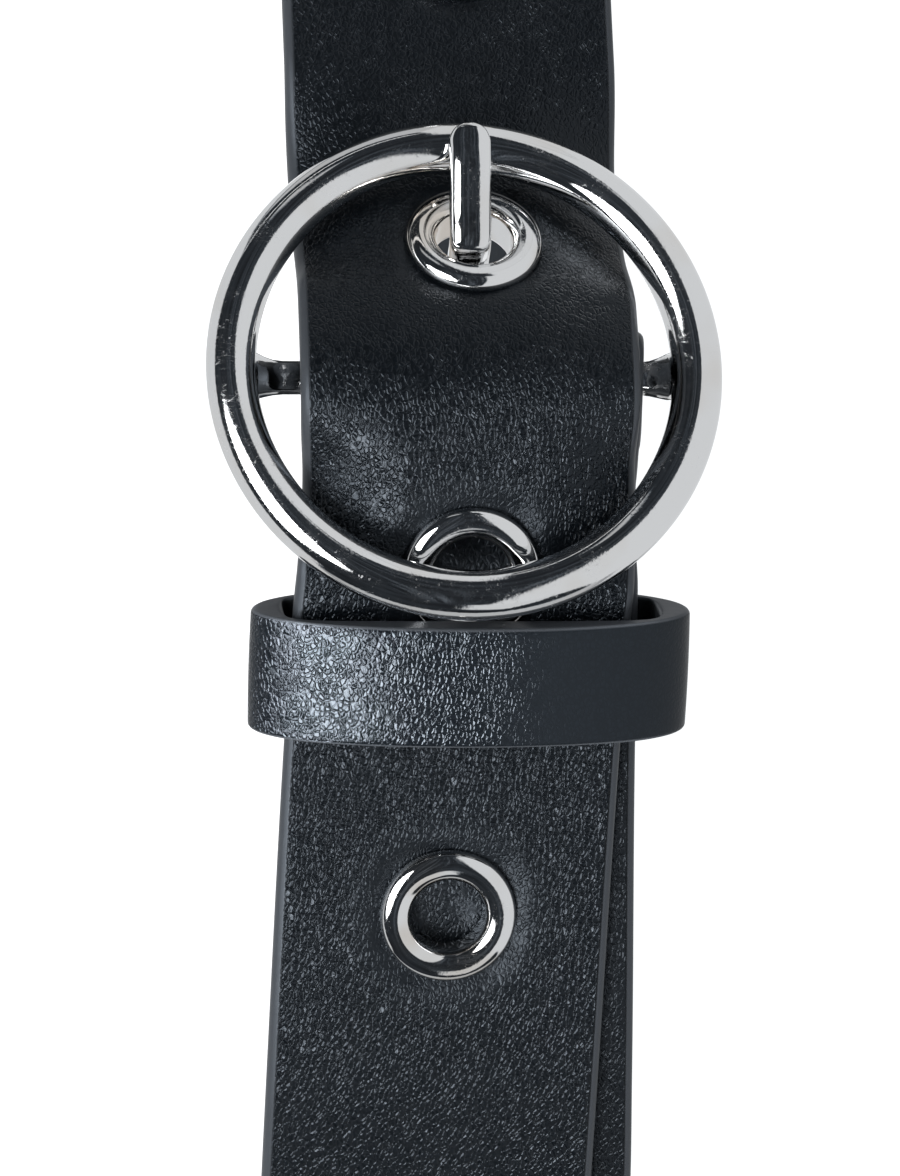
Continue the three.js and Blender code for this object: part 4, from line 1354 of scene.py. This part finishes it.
class BELT_OT_stage(bpy.types.Operator):
    """Lays the pale floor, sets up the soft lights and places the camera"""

    bl_idname = "belt.stage"
    bl_label = "Stage"

    def execute(self, context):
        sizes = context.scene.belt_stage
        self.floor(sizes)
        self.world(context.scene)
        self.leather_lights()
        self.camera(context.scene, sizes)
        context.scene.view_settings.view_transform = "Standard"
        return {"FINISHED"}

    def floor(self, sizes):
        half = sizes.floor_size / 2
        corners = [(-half, -half, 0), (half, -half, 0), (half, half, 0), (-half, half, 0)]
        floor = new_object("floor", mesh_of("floor", corners, [(0, 1, 2, 3)]))
        material, finish = new_finish("pale floor")
        place = finish.node("ShaderNodeTexCoord", {}, {}, output=3)
        tone = finish.smooth(finish.noise(place, 3.0, 2.0), 0.3, 0.7)
        colour = finish.blend(tone, rgba((0.86, 0.86, 0.86)), rgba((0.9, 0.9, 0.9)))
        surface_out(finish, {
            "Base Color": colour, "Roughness": 0.9,
            "Emission Color": (1, 1, 1, 1), "Emission Strength": 0.8,
        })
        floor.data.materials.append(material)
        floor.visible_glossy = False
        floor.visible_diffuse = False
        floor.visible_shadow = False

    def world(self, scene):
        """A white room to the camera, and a dark studio with soft panels to everything else."""
        world = bpy.data.worlds.new("studio")
        world.use_nodes = True
        scene.world = world
        sky = Finish(world.node_tree)
        toward = sky.node("ShaderNodeTexCoord", {}, {}, output=0)
        to_up, to_back, to_right = (
            sky.node("ShaderNodeSeparateXYZ", {}, {"Vector": toward}, output=k) for k in range(3)
        )
        to_degrees = 180 / math.pi
        arc_tangent, arc_sine = {"operation": "ARCTAN2"}, {"operation": "ARCSINE"}
        turn = sky.node("ShaderNodeMath", arc_tangent, {0: to_right, 1: -1 * to_back}) * to_degrees
        tilt = sky.node("ShaderNodeMath", arc_sine, {0: -1 * to_up}) * to_degrees
        glow = sky.noise(toward, 5.0, 3.0) * 0.042 + 0.004 + self.streaks(sky, turn, tilt) * 0.11
        for left, right, bottom, top, soft, strength in self.panels():
            wide = sky.between(turn, left, right, soft)
            tall = sky.between(tilt, bottom, top, soft)
            glow = glow.highest(wide * tall * strength)
        glow = glow.highest(self.softbox(sky, turn, tilt) * SOFTBOX_STRENGTH)
        glow = glow.highest(self.overhead(sky, to_up, to_back, to_right) * OVERHEAD_STRENGTH)
        seen = sky.node("ShaderNodeLightPath", {}, {}, output=0)
        strength = seen * 1.1 + (1 - seen) * glow
        tint = sky.blend(sky.smooth(strength, 0.02, 0.4), (0.8, 0.93, 1.1, 1), (0.97, 0.985, 1, 1))
        light = sky.node("ShaderNodeBackground", {}, {"Color": tint, "Strength": strength})
        sky.node("ShaderNodeOutputWorld", {}, {"Surface": light})

    def streaks(self, sky, turn, tilt):
        """Faint upright streaks near the front, which the ring shows as fine bands."""
        across = sky.node("ShaderNodeCombineXYZ", {}, {"X": turn, "Y": tilt * 0.03})
        streaks = sky.smooth(sky.noise(across, 0.42, 2.0), 0.5, 0.72)
        near_front = sky.smooth(turn, -30.0, -8.0) * (1 - sky.smooth(turn, 24.0, 26.0))
        near_front = near_front * (1 - sky.smooth(tilt * tilt, 1000.0, 2600.0))
        return streaks * near_front

    def softbox(self, sky, turn, tilt):
        """A squared round softbox at the left, which gives the leather its sparkle."""
        across = (turn - SOFTBOX_TURN) / SOFTBOX_HALF_WIDTH
        up = (tilt - SOFTBOX_TILT) / SOFTBOX_HALF_HEIGHT
        across, up = across * across, up * up
        return 1 - sky.smooth(across * across + up * up, 0.8, 1.1)

    def overhead(self, sky, to_up, to_back, to_right):
        """A narrow strip at the top left."""
        deep = sky.smooth(-1 * to_back, 0.11, 0.125) * (1 - sky.smooth(-1 * to_back, 0.15, 0.165))
        return deep * sky.smooth(-1 * to_up, 0.72, 0.78) * (1 - sky.smooth(to_right, 0.0, 0.05))

    def panels(self):
        """Soft panels as (left, right, bottom, top, softness, strength). Angles are in degrees as
        seen from the buckle facing the camera, with the picture's right and top positive."""
        return [
            (-200, -81, -50, 48, 2.0, 0.68),
            (-200, -157, -30, 30, 8.0, 1.1),
            (24, 110, -50, 42, 1.5, 0.7),
            (31, 200, 36, 66, 2.0, 0.7),
            (18, 200, 64, 95, 3.0, 0.68),
            (100, 152, -44, 42, 4.0, 0.7),
            (140, 200, -22, 42, 6.0, 0.72),
            (16, 60, -70, -46, 3.0, 0.66),
            (-50, -12, 58, 66, 3.0, 0.5),
            (-200, -105, 50, 95, 6.0, 0.5),
            (-200, -105, -95, -50, 6.0, 0.5),
            (105, 200, -95, -44, 6.0, 0.5),
        ]

    def leather_lights(self):
        """Soft lamps that give the leather its sheen and leave the metal be, as (pieces lit, turn,
        tilt, width, strength), with the directions as in the panels above."""
        for lit, turn, tilt, width, strength in (
            (KEEPER_PIECES, -26, -36, 0.22, 30),
            (STRAP_PIECES, -12, -38, 0.16, 17),
            (KEEPER_PIECES, SOFTBOX_TURN, SOFTBOX_TILT, 0.34, 7),
        ):
            turn, tilt = math.radians(turn), math.radians(tilt)
            toward = Vector((
                -math.sin(tilt), -math.cos(tilt) * math.cos(turn), math.cos(tilt) * math.sin(turn),
            ))
            light = bpy.data.lights.new("leather lamp", "AREA")
            light.shape = "DISK"
            light.size = width
            light.energy = strength * math.pi * math.pi * (width / 2) ** 2
            lamp = bpy.data.objects.new("leather lamp", light)
            lamp.matrix_world = (
                Matrix.Translation(Vector(RING_PLACE) + toward * LAMP_DISTANCE)
                @ toward.to_track_quat("Z", "Y").to_matrix().to_4x4()
            )
            lamp.visible_camera = False
            lamp.light_linking.receiver_collection = lit_by_lamps(lit)
            bpy.context.scene.collection.objects.link(lamp)

    def camera(self, scene, sizes):
        """The camera lies on its side, so the picture's right is the part's up."""
        drop = sizes.camera_drop
        target = Vector(to_frame(CAMERA_TARGET))
        back = Vector((0, -math.cos(drop), math.sin(drop)))
        right = Vector((0, math.sin(drop), math.cos(drop)))
        up = Vector((-1, 0, 0))
        eye = bpy.data.cameras.new("camera")
        eye.lens = sizes.lens
        eye.sensor_width = SENSOR_WIDTH
        eye.clip_start = 0.05
        holder = bpy.data.objects.new("camera", eye)
        turn = Matrix((right, up, back)).transposed().to_4x4()
        holder.matrix_world = Matrix.Translation(target + back * sizes.camera_distance) @ turn
        scene.collection.objects.link(holder)
        scene.camera = holder


class BELT_PT_panel(bpy.types.Panel):
    """Lists the belt's pieces and their settings"""

    bl_idname = "BELT_PT_panel"
    bl_label = "Buckled Eyelet Belt"
    bl_space_type = "VIEW_3D"
    bl_region_type = "UI"
    bl_category = "Belt"

    def draw(self, context):
        layout = self.layout
        for operator in OPERATORS:
            layout.operator(operator.bl_idname)
        for name, group in SETTINGS.items():
            box = layout.box()
            settings = getattr(context.scene, name)
            for key in group.__annotations__:
                box.prop(settings, key)


OPERATORS = (
    BELT_OT_stage, BELT_OT_strap, BELT_OT_keeper, BELT_OT_buckle,
    BELT_OT_prong, BELT_OT_eyelets, BELT_OT_rivet,
)
SETTINGS = {
    "belt_strap": BeltStrapSettings,
    "belt_metal": BeltMetalSettings,
    "belt_colours": BeltColourSettings,
    "belt_stage": BeltStageSettings,
}


def register():
    for kind in (*SETTINGS.values(), *OPERATORS, BELT_PT_panel):
        bpy.utils.register_class(kind)
    for name, group in SETTINGS.items():
        setattr(bpy.types.Scene, name, PointerProperty(type=group))


def unregister():
    for name in SETTINGS:
        delattr(bpy.types.Scene, name)
    for kind in reversed((*SETTINGS.values(), *OPERATORS, BELT_PT_panel)):
        bpy.utils.unregister_class(kind)


def main():
    register()
    bpy.ops.belt.stage()
    bpy.ops.belt.strap()
    bpy.ops.belt.keeper()
    bpy.ops.belt.buckle()
    bpy.ops.belt.prong()
    bpy.ops.belt.eyelets()
    bpy.ops.belt.rivet()


if __name__ == "__main__":
    main()
